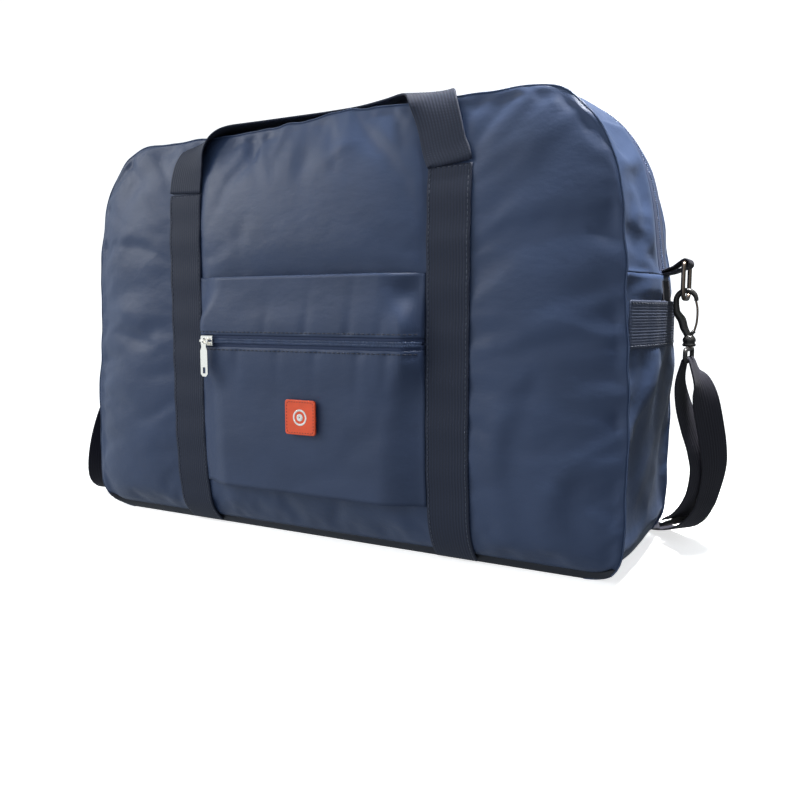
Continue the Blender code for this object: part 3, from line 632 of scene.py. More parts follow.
def build_stage():
    camera_data = bpy.data.cameras.new("camera")
    camera_data.lens = 35.7
    camera_data.sensor_width = 36
    camera = link("camera", camera_data)
    camera.location = (0.3618, -0.5965, 0.1857)
    camera.rotation_euler = (math.radians(90 - 6.38), 0, math.radians(28.5))
    bpy.context.scene.camera = camera

    world = bpy.context.scene.world or bpy.data.worlds.new("world")
    bpy.context.scene.world = world
    soft_sky(world)
    bpy.context.scene.view_settings.view_transform = "Standard"

    middle = (0, 0, 0.17)
    area_light("key", (-0.80, -0.60, 0.62), (-0.15, 0, 0.2), (0.5, 0.6), 4.6)
    area_light("shoulder", (0.38, 0.03, 1.25), (0.27, 0.01, 0.3), (0.3, 0.2), 3.0, 40)
    area_light("top", (-0.1, 0.7, 1.9), middle, (1.6, 1.2), 9)
    bend = [(2.2 + 1.4 * math.sin(t), -0.0005 + 1.4 * (1 - math.cos(t)))
            for t in np.radians(np.linspace(0, 80, 12))]
    profile = [(0.001, -0.0005), (1.0, -0.0005)] + bend + [(3.8, 6.0)]
    turn = np.arange(64) * math.tau / 64
    sweep = [(r * math.cos(a), r * math.sin(a), z) for r, z in profile for a in turn]
    floor = mesh_object("floor", sweep, tube_faces(len(profile), 64)[:-1])
    material = bpy.data.materials.new("pale_floor")
    material.use_nodes = True
    shader = material.node_tree.nodes["Principled BSDF"]
    shader.inputs["Base Color"].default_value = (0.90, 0.90, 0.90, 1)
    shader.inputs["Roughness"].default_value = 0.7
    shader.inputs["Emission Color"].default_value = (1, 1, 1, 1)
    shader.inputs["Emission Strength"].default_value = 0.70
    for ray in ("diffuse", "glossy", "shadow"):
        setattr(floor, "visible_" + ray, False)
    floor.data.materials.append(material)


def freedom(points):
    """How far the filled cloth may stand out from its seams' shape at each point, in metres."""
    x, y, z = points.T
    wide = np.abs(x)
    front, back = y < 0, y > 0
    face = step(np.abs(y) - seam_depth(z), -0.004, 0.001)
    free = GUSSET_FREEDOM * (1 - face) + FACE_FREEDOM * face
    low_end = (1 - face) * (1 - step(z, END_SEAM_Z - 0.02, END_SEAM_Z))
    free = free + (FACE_FREEDOM - GUSSET_FREEDOM) * low_end
    sleeve = (1 - step(wide, 0.100, 0.125)) * (1 - step(z, 0.205, 0.240)) * step(z, 0.012, 0.035)
    free = np.where(front, free * (1 - 0.55 * sleeve), free)
    legs = bell(wide, 0.121, 0.022) * step(z, 0.262, 0.288)
    free = np.where(front, free * (1 - 0.92 * legs), free)
    hanging = (1 - step(wide, 0.150, 0.185)) * step(z, 0.100, 0.130) * (1 - step(z, 0.285, 0.31))
    free = np.where(back, free * (1 - 0.85 * hanging), free)
    lying = (1 - step(wide, 0.125, 0.150)) * step(z, HEIGHT - 0.012, HEIGHT)
    return np.where(y < -0.020, free * (1 - 0.5 * lying * (1 - face)), free)


def slump(points):
    """The filled bag is not even: its top sinks, and its seams and ends lean in or swell."""
    x, y, z = points.T
    near = step(-y, ZIP_TAPE_Y, 0.065)
    moved = points.copy()
    # the left end draws in below its shoulder
    moved[:, 0] += 0.0050 * bell(x, -0.250, 0.035) * bell(z, 0.264, 0.022)
    # the front of the top sinks between the handle and the left shoulder
    top = step(z, 0.215, HEIGHT)
    moved[:, 2] -= near * top * 0.0065 * bell(x, -0.085, 0.050)
    moved[:, 2] -= near * top * 0.0045 * bell(x, -0.185, 0.045)
    # the front's left seam leans in, and its shoulder a little more
    left = near * step(-x, 0.150, 0.245)
    moved[:, 0] += left * 0.0095 * step(z, 0.100, 0.170)
    moved[:, 0] += left * 0.0060 * bell(z, 0.312, 0.016)
    # the front's right shoulder is fuller
    moved[:, 2] += 0.0050 * near * bell(x, 0.210, 0.026) * bell(z, 0.325, 0.026)
    # the right end swells low down and dips above the band
    end = step(x, 0.17, 0.235) * bell(y, 0.0, 0.045)
    moved[:, 0] += end * (0.0055 * bell(z, 0.120, 0.030) - 0.0065 * bell(z, 0.245, 0.026))
    # the front's right seam, and the gusset behind the zip, draw in
    right = step(x, 0.15, 0.235)
    moved[:, 0] -= 0.0055 * right * step(-y, 0.030, 0.070) * bell(z, 0.258, 0.045)
    behind = right * step(y, 0.010, 0.050)
    moved[:, 0] -= behind * (0.0070 * bell(z, 0.262, 0.040) + 0.0070 * bell(z, 0.312, 0.022))
    return moved


# Folds of the front face, each as (x, z, direction in degrees, length, width, depth).
FRONT_FOLDS = [
    (0.178, 0.128, 15, 0.030, 0.0040, -0.0022), (0.186, 0.136, 60, 0.020, 0.0035, -0.0016),
    (0.163, 0.100, 78, 0.085, 0.0080, 0.0028), (0.172, 0.096, 80, 0.080, 0.0060, -0.0020),
    (0.226, 0.200, 8, 0.040, 0.0050, -0.0022), (0.205, 0.178, 12, 0.060, 0.0070, 0.0020),
    (-0.190, 0.205, 4, 0.070, 0.0070, -0.0022), (-0.205, 0.185, -8, 0.060, 0.0060, 0.0018),
    (-0.175, 0.165, 10, 0.050, 0.0060, -0.0018), (-0.200, 0.120, -20, 0.055, 0.0070, 0.0016),
    (-0.185, 0.300, 38, 0.060, 0.0065, -0.0020), (-0.200, 0.250, 30, 0.050, 0.0060, 0.0016),
    (0.000, 0.300, 75, 0.040, 0.0050, -0.0016), (0.030, 0.306, 25, 0.024, 0.0030, 0.0020),
    (0.165, 0.262, 42, 0.090, 0.0110, -0.0030), (0.180, 0.235, 20, 0.090, 0.0100, -0.0026),
    (0.190, 0.300, 50, 0.045, 0.0060, 0.0016), (0.200, 0.060, 70, 0.060, 0.0080, 0.0022),
    (-0.060, 0.245, 80, 0.030, 0.0040, -0.0014), (0.215, 0.050, 100, 0.050, 0.0060, -0.0018),
]
# Folds of the right end and shoulder, as (y, z, direction, length, width, depth).
END_FOLDS = [
    (-0.030, 0.238, 95, 0.045, 0.0045, -0.0024), (-0.052, 0.244, 83, 0.040, 0.0045, -0.0020),
    (-0.040, 0.262, 88, 0.060, 0.0050, 0.0018), (-0.058, 0.275, 92, 0.060, 0.0045, -0.0014),
    (-0.045, 0.202, 60, 0.020, 0.0030, -0.0016), (-0.025, 0.204, 110, 0.018, 0.0030, -0.0014),
    (-0.040, 0.140, 80, 0.050, 0.0070, -0.0028), (-0.015, 0.120, 100, 0.060, 0.0070, 0.0020),
    (-0.055, 0.100, 84, 0.070, 0.0060, 0.0018), (-0.030, 0.070, 60, 0.050, 0.0060, -0.0024),
    (-0.060, 0.148, 88, 0.030, 0.0040, -0.0016), (0.020, 0.130, 85, 0.060, 0.0080, -0.0026),
    (0.045, 0.090, 95, 0.060, 0.0070, 0.0020), (0.030, 0.245, 90, 0.045, 0.0050, -0.0022),
]


def fold_heights(a, b, folds):
    """Summed height of a list of folds at the places (a, b)."""
    total = np.zeros(len(a))
    for centre_a, centre_b, degrees, length, width, depth in folds:
        turn = math.radians(degrees)
        along = (a - centre_a) * math.cos(turn) + (b - centre_b) * math.sin(turn)
        across = (b - centre_b) * math.cos(turn) - (a - centre_a) * math.sin(turn)
        across = across + 0.10 * along ** 2 / length * 4
        total += depth * np.exp(-0.5 * (across / width) ** 2) * np.exp(-(along / length * 2) ** 2)
    return total


def seam_puckers(points):
    """Short creases that run in from the seams, where the stitching has gathered the cloth."""
    x, y, z = points.T
    inset = outline_distance(x, z)
    around = np.arctan2(z - FACE_CENTRE_Z, x)
    rng = np.random.default_rng(11)
    total = np.zeros(len(points))
    for angle in rng.uniform(-math.pi, math.pi, 150):
        reach = rng.uniform(0.006, 0.020)
        spread = rng.uniform(0.007, 0.016)
        gap = np.angle(np.exp(1j * (around - angle)))
        total -= rng.uniform(0.3, 1.0) * np.exp(-0.5 * (gap / spread) ** 2) * np.exp(-inset / reach)
    on_face = step(np.abs(y) - seam_depth(z), -0.001, 0.001)
    gathered = 0.0027 + 0.0016 * step(x, 0.120, 0.200)
    return gathered * total * on_face * step(inset, 0.0005, 0.004)


def gather_seams(points):
    """The seams between faces and gusset run a little unevenly, as gathered cloth does."""
    x, y, z = points.T
    inset = outline_distance(x, z)
    rng = np.random.default_rng(5)
    around = np.arctan2(z - FACE_CENTRE_Z, x)
    wave = np.zeros(len(points))
    for count in (7, 11, 17, 26, 38, 55):
        wave += np.sin(around * count + rng.uniform(0, math.tau, 1)) / count ** 0.35
    near = np.exp(-np.abs(inset) / 0.010) * bell(np.abs(y), seam_depth(z), 0.012)
    near = near * step(z, 0.020, 0.060)
    moved = points.copy()
    moved[:, 0] += 0.0014 * wave * near * np.cos(around)
    moved[:, 2] += 0.0014 * wave * near * np.sin(around)
    return moved


def add_folds(points, shell, hold):
    x, y, z = points.T
    normals = point_normals(points, shell.quads)
    front = step(-y - seam_depth(z), 0.000, 0.003)
    back = step(y - seam_depth(z), 0.000, 0.003)
    ends = step(np.abs(x) - HALF_WIDTH, -0.030, 0.001)
    ends = ends * step(seam_depth(z) - np.abs(y), 0.001, 0.008)
    faces = front * fold_heights(x, z, FRONT_FOLDS) + back * fold_heights(-x, z, FRONT_FOLDS)
    height = FACE_FOLDING * faces
    height = height + END_FOLDING * ends * fold_heights(np.where(x > 0, y, -y), z, END_FOLDS)
    free = 1 - np.clip(hold, 0, 1)
    return points + normals * ((height + seam_puckers(points)) * free)[:, None]


def shape_body(shell):
    """The body's final points: blown up by the simulation, creased and slumped."""
    start = sink_seams(shell, shell.points)
    hold = pinned(shell.points, shell)
    filled = fill_with_air(start, shell.quads, hold)
    moved = filled - start
    length = np.maximum(np.linalg.norm(moved, axis=1), 1e-9)
    limit = freedom(shell.points)
    filled = start + moved * (limit * np.tanh(length / limit) / length)[:, None]
    return slump(gather_seams(add_folds(filled, shell, hold)))


BODY_FINISH = {
    "front_panel": "navy_nylon", "back_panel": "navy_nylon", "base_panel": "base_shade_nylon",
    "right_end_panel": "gusset_sheen_nylon", "left_end_panel": "gusset_sheen_nylon",
    "top_gusset_front": "gusset_sheen_nylon", "top_gusset_rear": "gusset_sheen_nylon",
    "main_zip_tape_front": "zip_tape", "main_zip_tape_rear": "zip_tape",
}


def build_body():
    """One object for each panel, cut from the shell at its seams."""
    shell = Shell()
    points = shape_body(shell)
    for panel, finish in BODY_FINISH.items():
        chosen = [k for k, name in enumerate(shell.panel) if name == panel]
        used = sorted({c for k in chosen for c in shell.quads[k]})
        number = {c: i for i, c in enumerate(used)}
        faces = [[number[c] for c in shell.quads[k]] for k in chosen]
        piece = mesh_object(panel + "_cloth", points[used], faces)
        layer = piece.data.uv_layers.new(name="cut")
        cuts = np.array([place for k in chosen for place in shell.cut[k]], np.float32)
        layer.data.foreach_set("uv", cuts.ravel())
        dress(piece, finish)
        smoother = piece.modifiers.new("smooth", "SUBSURF")
        smoother.levels = smoother.render_levels = 1
        smoother.boundary_smooth = "PRESERVE_CORNERS"
        backing = piece.modifiers.new("thickness", "SOLIDIFY")
        backing.thickness = CLOTH_THICK
        backing.offset = -1
        fasten(piece, node=panel)
    return points, shell


def build_seam_piping(points, shell):
    """A thin cord in the seam round each face, from one lower corner over the top to the other."""
    first = len(ACROSS) - 1
    for column, word in ((0, "front"), (-1, "rear")):
        line = points[[ids[column] for ids in shell.columns[first:]]]
        line = line[line[:, 2] > 0.003]
        piping = tube(word + "_seam_piping", line, 0.0005, "gusset_sheen_nylon", 8)
        fasten(piping, node=word + "_seam_binding")


# ---- ribbons, tubes, sheets and small repeated pieces -------------------------------------
def curve_through(points, steps):
    """Catmull-Rom curve through the points, with the given number of steps per span."""
    points = np.array(points, float)
    ends = np.vstack([2 * points[0] - points[1], points, 2 * points[-1] - points[-2]])
    path = []
    for k in range(len(points) - 1):
        a, b, c, d = ends[k:k + 4]
        for t in np.arange(steps) / steps:
            path.append(0.5 * (2 * b + (c - a) * t + (2 * a - 5 * b + 4 * c - d) * t ** 2
                               + (3 * b - a - 3 * c + d) * t ** 3))
    return np.array(path + [points[-1]])


def evenly(path, spacing, *others):
    """The path, and any lists that go with it, at even spacing."""
    run = run_of(path)
    places = np.linspace(0, run[-1], max(int(run[-1] / spacing), 2) + 1)
    return [interpolate(places, run, np.array(line, float)) for line in (path, *others)]


def frames_along(path, across):
    """Tangent, width and thickness directions at each point of a path."""
    tangent = unit(np.gradient(path, axis=0))
    side = unit(across - np.sum(across * tangent, axis=1)[:, None] * tangent)
    return tangent, side, np.cross(tangent, side)


def tube_faces(rows, count):
    faces = []
    for i in range(rows - 1):
        for j in range(count):
            n = (j + 1) % count
            faces.append((i * count + j, i * count + n, (i + 1) * count + n, (i + 1) * count + j))
    faces.append(tuple(reversed(range(count))))
    faces.append(tuple((rows - 1) * count + j for j in range(count)))
    return faces


def ribbed_section(width, thickness, ribs, depth):
    """Outline of woven tape as (a, b): ribs on both faces, and rounded selvedges."""
    steps = ribs * 4
    s = np.linspace(0, 1, steps + 1)
    a = (s - 0.5) * (width - thickness * 0.5)
    b = thickness / 2 - depth * (0.5 + 0.5 * np.cos(s * math.tau * ribs))
    edge = [(width / 2, 0.0)]
    top = list(zip(a, b))
    return top + edge + [(x, -y) for x, y in reversed(top)] + [(-width / 2, 0.0)]


def ribbon(name, path, across, width, thickness, finish, ribs=15, depth=0.00014, spacing=0.0025):
    path, across = evenly(path, spacing, across)
    _, side, normal = frames_along(path, across)
    section = np.array(ribbed_section(width, thickness, ribs, depth))
    points = (path[:, None] + side[:, None] * section[None, :, :1]
              + normal[:, None] * section[None, :, 1:]).reshape(-1, 3)
    run = run_of(path)
    uvs = [(a, v) for v in run for a in section[:, 0]]
    return dress(mesh_object(name, points, tube_faces(len(path), len(section)), uvs=uvs), finish)


def tube(name, points, radius, finish, sides=12, cyclic=False, flatten=1.0):
    """A round bar; radius is one number or one for each point."""
    points = np.array(points, float)
    radius = np.broadcast_to(np.asarray(radius, float), (len(points),))
    if cyclic:
        tangent = np.roll(points, -1, axis=0) - np.roll(points, 1, axis=0)
    else:
        tangent = np.gradient(points, axis=0)
    tangent = unit(tangent)
    flat = np.linalg.svd(points - points.mean(axis=0))[2][2]
    side = unit(np.cross(tangent, flat))
    up = np.cross(side, tangent)
    turn = np.arange(sides) * math.tau / sides
    ring = (side[:, None] * np.cos(turn)[None, :, None]
            + up[:, None] * np.sin(turn)[None, :, None] * flatten)
    cloud = (points[:, None] + ring * radius[:, None, None]).reshape(-1, 3)
    faces = tube_faces(len(points), sides)
    if cyclic:
        last = len(points) - 1
        faces = faces[:-2] + [(last * sides + j, last * sides + (j + 1) % sides,
                               (j + 1) % sides, j) for j in range(sides)]
    return dress(mesh_object(name, cloud, faces), finish)


def lathe(name, profile, centre, finish, sides=28):
    """A profile of (radius, z) turned about a vertical axis."""
    turn = np.arange(sides) * math.tau / sides
    rings = [[(centre[0] + r * math.cos(t), centre[1] + r * math.sin(t), centre[2] + z)
              for t in turn] for r, z in profile]
    return dress(mesh_object(name, np.array(rings).reshape(-1, 3),
                             tube_faces(len(profile), sides)), finish)


def sheet_grid(name, outer, thickness, finish):
    """A thin closed sheet from a grid of points; its second skin lies inwards, at +thickness."""
    outer = np.array(outer, float)
    rows, columns = outer.shape[:2]
    inner = outer + unit(np.cross(*np.gradient(outer, axis=(0, 1)))) * thickness
    at = np.arange(rows * columns).reshape(rows, columns)
    shift = rows * columns
    faces = []
    for i in range(rows - 1):
        for j in range(columns - 1):
            quad = (at[i, j], at[i, j + 1], at[i + 1, j + 1], at[i + 1, j])
            faces.append(quad)
            faces.append(tuple(shift + k for k in reversed(quad)))
    rim = [int(at[c]) for c in rim_of(rows, columns)]
    for a, b in zip(rim, rim[1:] + rim[:1]):
        faces.append((b, a, shift + a, shift + b))
    points = np.vstack([outer.reshape(-1, 3), inner.reshape(-1, 3)])
    cut = np.vstack([outer[..., [0, 2]].reshape(-1, 2)] * 2)
    return dress(mesh_object(name, points, faces, uvs=cut), finish)


class Batch:
    """Many copies of small shapes, gathered into one object."""

    def __init__(self):
        self.points, self.faces, self.count = [], [], 0

    def add(self, template, places, x_axes, y_axes, z_axes):
        """One copy of the template at each place, stretched and turned by three axes."""
        points, faces = template
        axes = np.stack([x_axes, y_axes, z_axes], axis=1)
        cloud = np.array(places)[:, None] + np.einsum("vk,nkc->nvc", points, axes)
        for n in range(len(cloud)):
            start = self.count + n * len(points)
            self.faces += [tuple(start + k for k in face) for face in faces]
        self.count += len(points) * len(cloud)
        self.points.append(cloud.reshape(-1, 3))

    def build(self, name, finish):
        return dress(mesh_object(name, np.vstack(self.points), self.faces), finish)


def bead(sides=6):
    """A rounded bar along x, of length 1 and radius 1 in y and z."""
    stations = ((-0.5, 0.45), (-0.36, 1.0), (0.36, 1.0), (0.5, 0.45))
    turn = np.arange(sides) * math.tau / sides
    points = [(x, r * math.cos(t), r * math.sin(t)) for x, r in stations for t in turn]
    return np.array(points), tube_faces(len(stations), sides)


BEAD = bead()


def stitches(batch, path, normals, length=0.0026, gap=0.0014, radius=0.00032):
    """A row of stitches along a path on a surface with the given normals."""
    path, normals = evenly(path, length + gap, normals)
    middle = (path[1:] + path[:-1]) / 2
    along = unit(path[1:] - path[:-1])
    up = (normals[1:] + normals[:-1]) / 2
    up = unit(up - np.sum(up * along, axis=1)[:, None] * along)
    side = np.cross(up, along)
    batch.add(BEAD, middle, along * length, side * radius, up * radius * 0.8)


def coil(batch, path, across, normal, pitch, half):
    """The two rows of a closed zip's coil: small bars laid side by side along the path."""
    path, across, normal = evenly(path, pitch, across, normal)
    tangent, side, up = frames_along(path, across)
    sign = np.sign(np.sum(up * normal, axis=1))[:, None]
    for row in (-1, 1):
        shift = tangent * (pitch * 0.25 * row)
        lean = unit(side * row + tangent * 0.25)
        crossing = np.cross(lean, up)
        batch.add(BEAD, path + shift + side * (row * half * 0.47), lean * half * 1.05,
                  crossing * pitch * 0.40, up * sign * pitch * 0.42)


# ---- webbing sewn to the faces, and the handle loops --------------------------------------
WEBBING_THICK = 0.0018
STITCH_INSET = 0.0022
HANDLE_Z = STITCH_Z + 0.0016
FRONT_HANDLE_Y = -(HALF_DEPTH + 0.0082)
REAR_HANDLE_Y = HALF_DEPTH + 0.0118
FRONT_HALF_LOOP = [
    ((WEBBING_X, FRONT_HANDLE_Y, STITCH_Z + 0.0003), (1, 0, 0)),
    ((WEBBING_X - 0.0008, FRONT_HANDLE_Y, STITCH_Z + 0.0045), (0.99, 0, 0.08)),
    ((0.1176, -0.0822, 0.2995), (0.97, 0, 0.18)),
    ((0.1136, -0.0814, 0.3150), (0.96, 0, 0.24)),
    ((0.1094, -0.0800, 0.3275), (0.96, 0.06, 0.22)),
    ((0.1046, -0.0758, 0.3362), (0.92, 0.26, 0.14)),
    ((0.0975, -0.0680, 0.3412), (0.82, 0.50, 0.08)),
    ((0.0855, -0.0575, 0.3436), (0.60, 0.76, 0.08)),
    ((0.0640, -0.0475, 0.3443), (0.30, 0.94, 0.11)),
    ((0.0330, -0.0400, 0.3445), (0.05, 0.99, 0.14)),
    ((0.0000, -0.0395, 0.3445), (0, 0.99, 0.14)),
]
REAR_HALF_LOOP = [
    ((WEBBING_X, REAR_HANDLE_Y, HANDLE_Z), (1, 0, 0)),
    ((0.1223, 0.0880, 0.2700), (1, 0, 0)),
    ((0.1220, 0.0890, 0.2400), (1, 0, 0)),
    ((0.1200, 0.0893, 0.2050), (1, 0, -0.08)),
    ((0.1130, 0.0895, 0.1760), (0.90, 0, -0.43)),
    ((0.0960, 0.0897, 0.1550), (0.55, 0, -0.83)),
    ((0.0700, 0.0898, 0.1460), (0.15, 0, -0.98)),
    ((0.0350, 0.0898, 0.1435), (0.03, 0, -1)),
    ((0.0000, 0.0898, 0.1430), (0, 0, -1)),
]


def face_line(x, heights, side, lift):
    """Points up a face at one x, lifted off it."""
    depth = seam_depth(heights) + bulge(np.minimum(heights, HEIGHT - heights)) + lift
    return np.stack([np.full(len(heights), x), side * depth, heights], axis=1)


def build_face_webbing(threads):
    heights = np.linspace(0.0015, STITCH_Z, 120)
    middle = GAP + WEBBING_THICK / 2
    for side, word in ((-1, "front"), (1, "rear")):
        outward = facing((0, side, 0), len(heights))
        for side_x, hand in ((1, "right"), (-1, "left")):
            path = face_line(side_x * WEBBING_X, heights, side, middle)
            path[:, 1] += side * 0.0004 * np.sin(heights * 190 + side_x)
            across = facing((1, 0, 0), len(heights))
            node = word + "_webbing_" + hand
            piece = ribbon(node + "_tape", slump(path), across, WEBBING, WEBBING_THICK,
                           "navy_webbing")
            fasten(piece, node=node)
            for edge in (-1, 1):
                line = path + (edge * (WEBBING / 2 - STITCH_INSET), side * WEBBING_THICK * 0.52, 0)
                stitches(threads, slump(line), outward)
            cross = np.linspace(-1, 1, 20)[:, None] * (WEBBING / 2 - STITCH_INSET, 0, 0)
            top = path[-1] - (0, 0, 0.0014) + cross + (0, side * WEBBING_THICK * 0.52, 0)
            stitches(threads, slump(top), outward[:20])


# The left leg leans further in and twists, so that its underside shows.
LEFT_HALF_LOOP = [
    ((0.1223, FRONT_HANDLE_Y, HANDLE_Z), (1, 0, 0)),
    ((0.1215, -0.0822, 0.3000), (1, 0.02, 0)),
    ((0.1180, -0.0812, 0.3140), (1, 0.10, -0.10)),
    ((0.1110, -0.0785, 0.3265), (0.96, 0.25, -0.16)),
    ((0.1010, -0.0725, 0.3360), (0.86, 0.46, -0.16)),
    ((0.0890, -0.0640, 0.3415), (0.66, 0.72, -0.08)),
    ((0.0730, -0.0560, 0.3440), (0.40, 0.90, 0.04)),
    ((0.0520, -0.0490, 0.3445), (0.18, 0.97, 0.10)),
    ((0.0260, -0.0430, 0.3445), (0.05, 0.99, 0.13)),
]


def whole_loop(half, other=None):
    mirrored = [((-x, y, z), (-u, v, w)) for (x, y, z), (u, v, w) in (other or half[:-1])[::-1]]
    route = half + mirrored
    return [place for place, _ in route], [width for _, width in route]


def build_handles():
    for word, half in (("front", FRONT_HALF_LOOP), ("rear", REAR_HALF_LOOP)):
        places, widths = whole_loop(half, LEFT_HALF_LOOP if word == "front" else None)
        path, across = curve_through(places, 12), curve_through(widths, 12)
        if word == "front":
            path = slump(path)
        piece = ribbon(word + "_handle_tape", path, across, WEBBING, WEBBING_THICK, "navy_webbing")
        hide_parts(word + "_handle_loop")
        if word == "front":
            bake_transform(piece)
        else:
            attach(piece, "rear_handle")


# ---- the sleeve and its zipped pocket -----------------------------------------------------
def sleeve_rise(x, z):
    """Stands off the face between its sewn sides, and eases down towards its free edges."""
    away = np.abs(np.asarray(z, float) - POCKET_ZIP_Z)
    ease = step(away, 0.012, 0.045)
    ramp = SLEEVE_RAMP * (1 + 1.3 * ease)
    t = np.clip((SLEEVE_HALF - np.abs(x)) / ramp, 0, 1)
    return SLEEVE_STAND * np.sin(t * math.pi / 2) ** (1 + 0.5 * ease) * (1 - 0.16 * ease)


# Gathers that run up and down from the pocket's zip, as (x, height above the zip, depth).
GATHERS = [(0.008, 1, 0.0014), (0.047, 1, 0.0016), (0.074, 1, 0.0012), (0.098, 1, 0.0014),
           (-0.030, 1, 0.0008), (0.020, -1, 0.0011), (0.058, -1, 0.0014), (0.082, -1, 0.0016),
           (-0.015, -1, 0.0009), (-0.055, -1, 0.0010), (0.098, -1, 0.0013)]
SLEEVE_FOLDS = [
    (0.090, 0.196, 55, 0.030, 0.0055, -0.0030), (0.030, 0.060, 5, 0.080, 0.0060, -0.0012),
    (0.060, 0.090, 30, 0.050, 0.0070, -0.0014), (-0.050, 0.080, -12, 0.060, 0.0080, 0.0010),
    (-0.020, 0.190, 3, 0.090, 0.0070, -0.0010), (0.075, 0.120, 70, 0.050, 0.0060, -0.0013),
    (-0.070, 0.130, 60, 0.040, 0.0060, -0.0010),
]


def sleeve_surface(x, z, lift=0.0):
    """Outer surface of the sleeve, with its gathers and folds, at x and z."""
    x, z = np.broadcast_arrays(np.asarray(x, float), np.asarray(z, float))
    base = seam_depth(z) + bulge(np.minimum(z, HEIGHT - z)) + GAP + FABRIC
    base = base + sleeve_rise(x, z) + lift
    above = z - POCKET_ZIP_Z
    crease = np.zeros(x.shape)
    for place, side, depth in GATHERS:
        away = above * side
        near = np.where(away > 0, np.exp(-away / 0.016), 0) * step(away, 0.004, 0.008)
        crease = crease - 1.5 * depth * near * bell(x, place + above * 0.12, 0.0028)
    crease = crease + fold_heights(x.ravel(), z.ravel(), SLEEVE_FOLDS).reshape(x.shape)
    held = step(SLEEVE_HALF - np.abs(x), 0.000, 0.006) * step(np.abs(above), 0.005, 0.008)
    out = base + crease * held
    return np.stack([x, -out, z], axis=-1)


def sleeve_part(name, heights, thickness, finish, node, lift=0.0, tuck=None):
    """One strip of the sleeve; its cloth is folded in at the height of the tuck."""
    across = np.unique(np.concatenate([np.linspace(-SLEEVE_HALF, SLEEVE_HALF, 85),
                                       SLEEVE_HALF - np.linspace(0, SLEEVE_RAMP, 7),
                                       np.linspace(0, SLEEVE_RAMP, 7) - SLEEVE_HALF]))
    z, x = np.meshgrid(heights, across, indexing="ij")
    roll = np.zeros(len(heights))
    if tuck is not None:
        roll -= 0.0011 * np.exp(-np.abs(heights - tuck) / 0.0012)
    points = sleeve_surface(x, z, lift)
    points[..., 1] -= roll[:, None]
    piece = sheet_grid(name, points, thickness, finish)
    fasten(piece, node=node)


SLEEVE_STEPS, COIL_STEPS = 200, 300


def across_sleeve(threads, z):
    """A row of stitches from one side of the sleeve to the other."""
    half = SLEEVE_HALF - 0.003
    x = np.linspace(-half, half, SLEEVE_STEPS)
    line = sleeve_surface(x, np.full(SLEEVE_STEPS, z), 0.0003)
    stitches(threads, line, facing((0, -1, 0), SLEEVE_STEPS), 0.0030, 0.0012, 0.00034)


def build_sleeve(dark):
    tape_low, tape_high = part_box("pocket_zip_tape_lower"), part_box("pocket_zip_tape_upper")
    low, high = tape_low[0].z + 0.0016, tape_high[1].z - 0.0016
    hem = 0.009
    lower = np.concatenate([np.linspace(SLEEVE_LOW.z, low - 0.006, 34),
                            np.linspace(low - 0.005, low + 0.0006, 8)])
    upper = np.concatenate([np.linspace(high - 0.0006, high + 0.005, 8),
                            np.linspace(high + 0.006, SLEEVE_TOP, 16)])
    for word, heights, edge in (("lower", lower, lower[-1]), ("upper", upper, upper[0])):
        sleeve_part("sleeve_%s_cloth" % word, heights, 0.0009, "sleeve_nylon",
                    "sleeve_%s_panel" % word, tuck=edge)
    for name, z in (("sleeve_lower_hem", SLEEVE_LOW.z), ("sleeve_upper_hem", SLEEVE_TOP - hem)):
        sleeve_part(name, np.linspace(z, z + hem, 5), 0.0005, "sleeve_nylon", None, -0.0012)
    zip_low = np.linspace(low - 0.0030, POCKET_ZIP_Z - 0.0006, 5)
    zip_high = np.linspace(POCKET_ZIP_Z + 0.0006, high + 0.0030, 5)
    for word, heights in (("lower", zip_low), ("upper", zip_high)):
        sleeve_part("pocket_zip_%s_tape" % word, heights, 0.0005, "zip_tape",
                    "pocket_zip_tape_" + word, -0.0014)
    lining_low, lining_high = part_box("sleeve_pocket_lining")
    across = np.linspace(lining_low.x, lining_high.x, 60)
    z, x = np.meshgrid(np.linspace(lining_low.z, lining_high.z, 40), across, indexing="ij")
    lining = sheet_grid("pocket_lining", sleeve_surface(x, z, -0.0034), 0.0006, "lining_nylon")
    fasten(lining, node="sleeve_pocket_lining")
    teeth = Batch()
    x = np.linspace(-SLEEVE_HALF + 0.002, SLEEVE_HALF - 0.002, COIL_STEPS)
    line = sleeve_surface(x, np.full(COIL_STEPS, POCKET_ZIP_Z), -0.0006)
    up, out = facing((0, 0, 1), COIL_STEPS), facing((0, -1, 0), COIL_STEPS)
    coil(teeth, line, up, out, 0.00115, 0.0021)
    fasten(teeth.build("pocket_zip_coil", "zip_coil"), node="pocket_zip_chain")
    across_sleeve(dark, low - STITCH_INSET)
    across_sleeve(dark, high + STITCH_INSET)


def rounded_plate(width, height, corner, steps=6):
    outline = []
    for sx, sz, start in ((1, -1, -90), (1, 1, 0), (-1, 1, 90), (-1, -1, 180)):
        for k in range(steps + 1):
            t = math.radians(start + 90 * k / steps)
            outline.append((sx * (width / 2 - corner) + corner * math.cos(t),
                            sz * (height / 2 - corner) + corner * math.sin(t)))
    return np.array(outline)


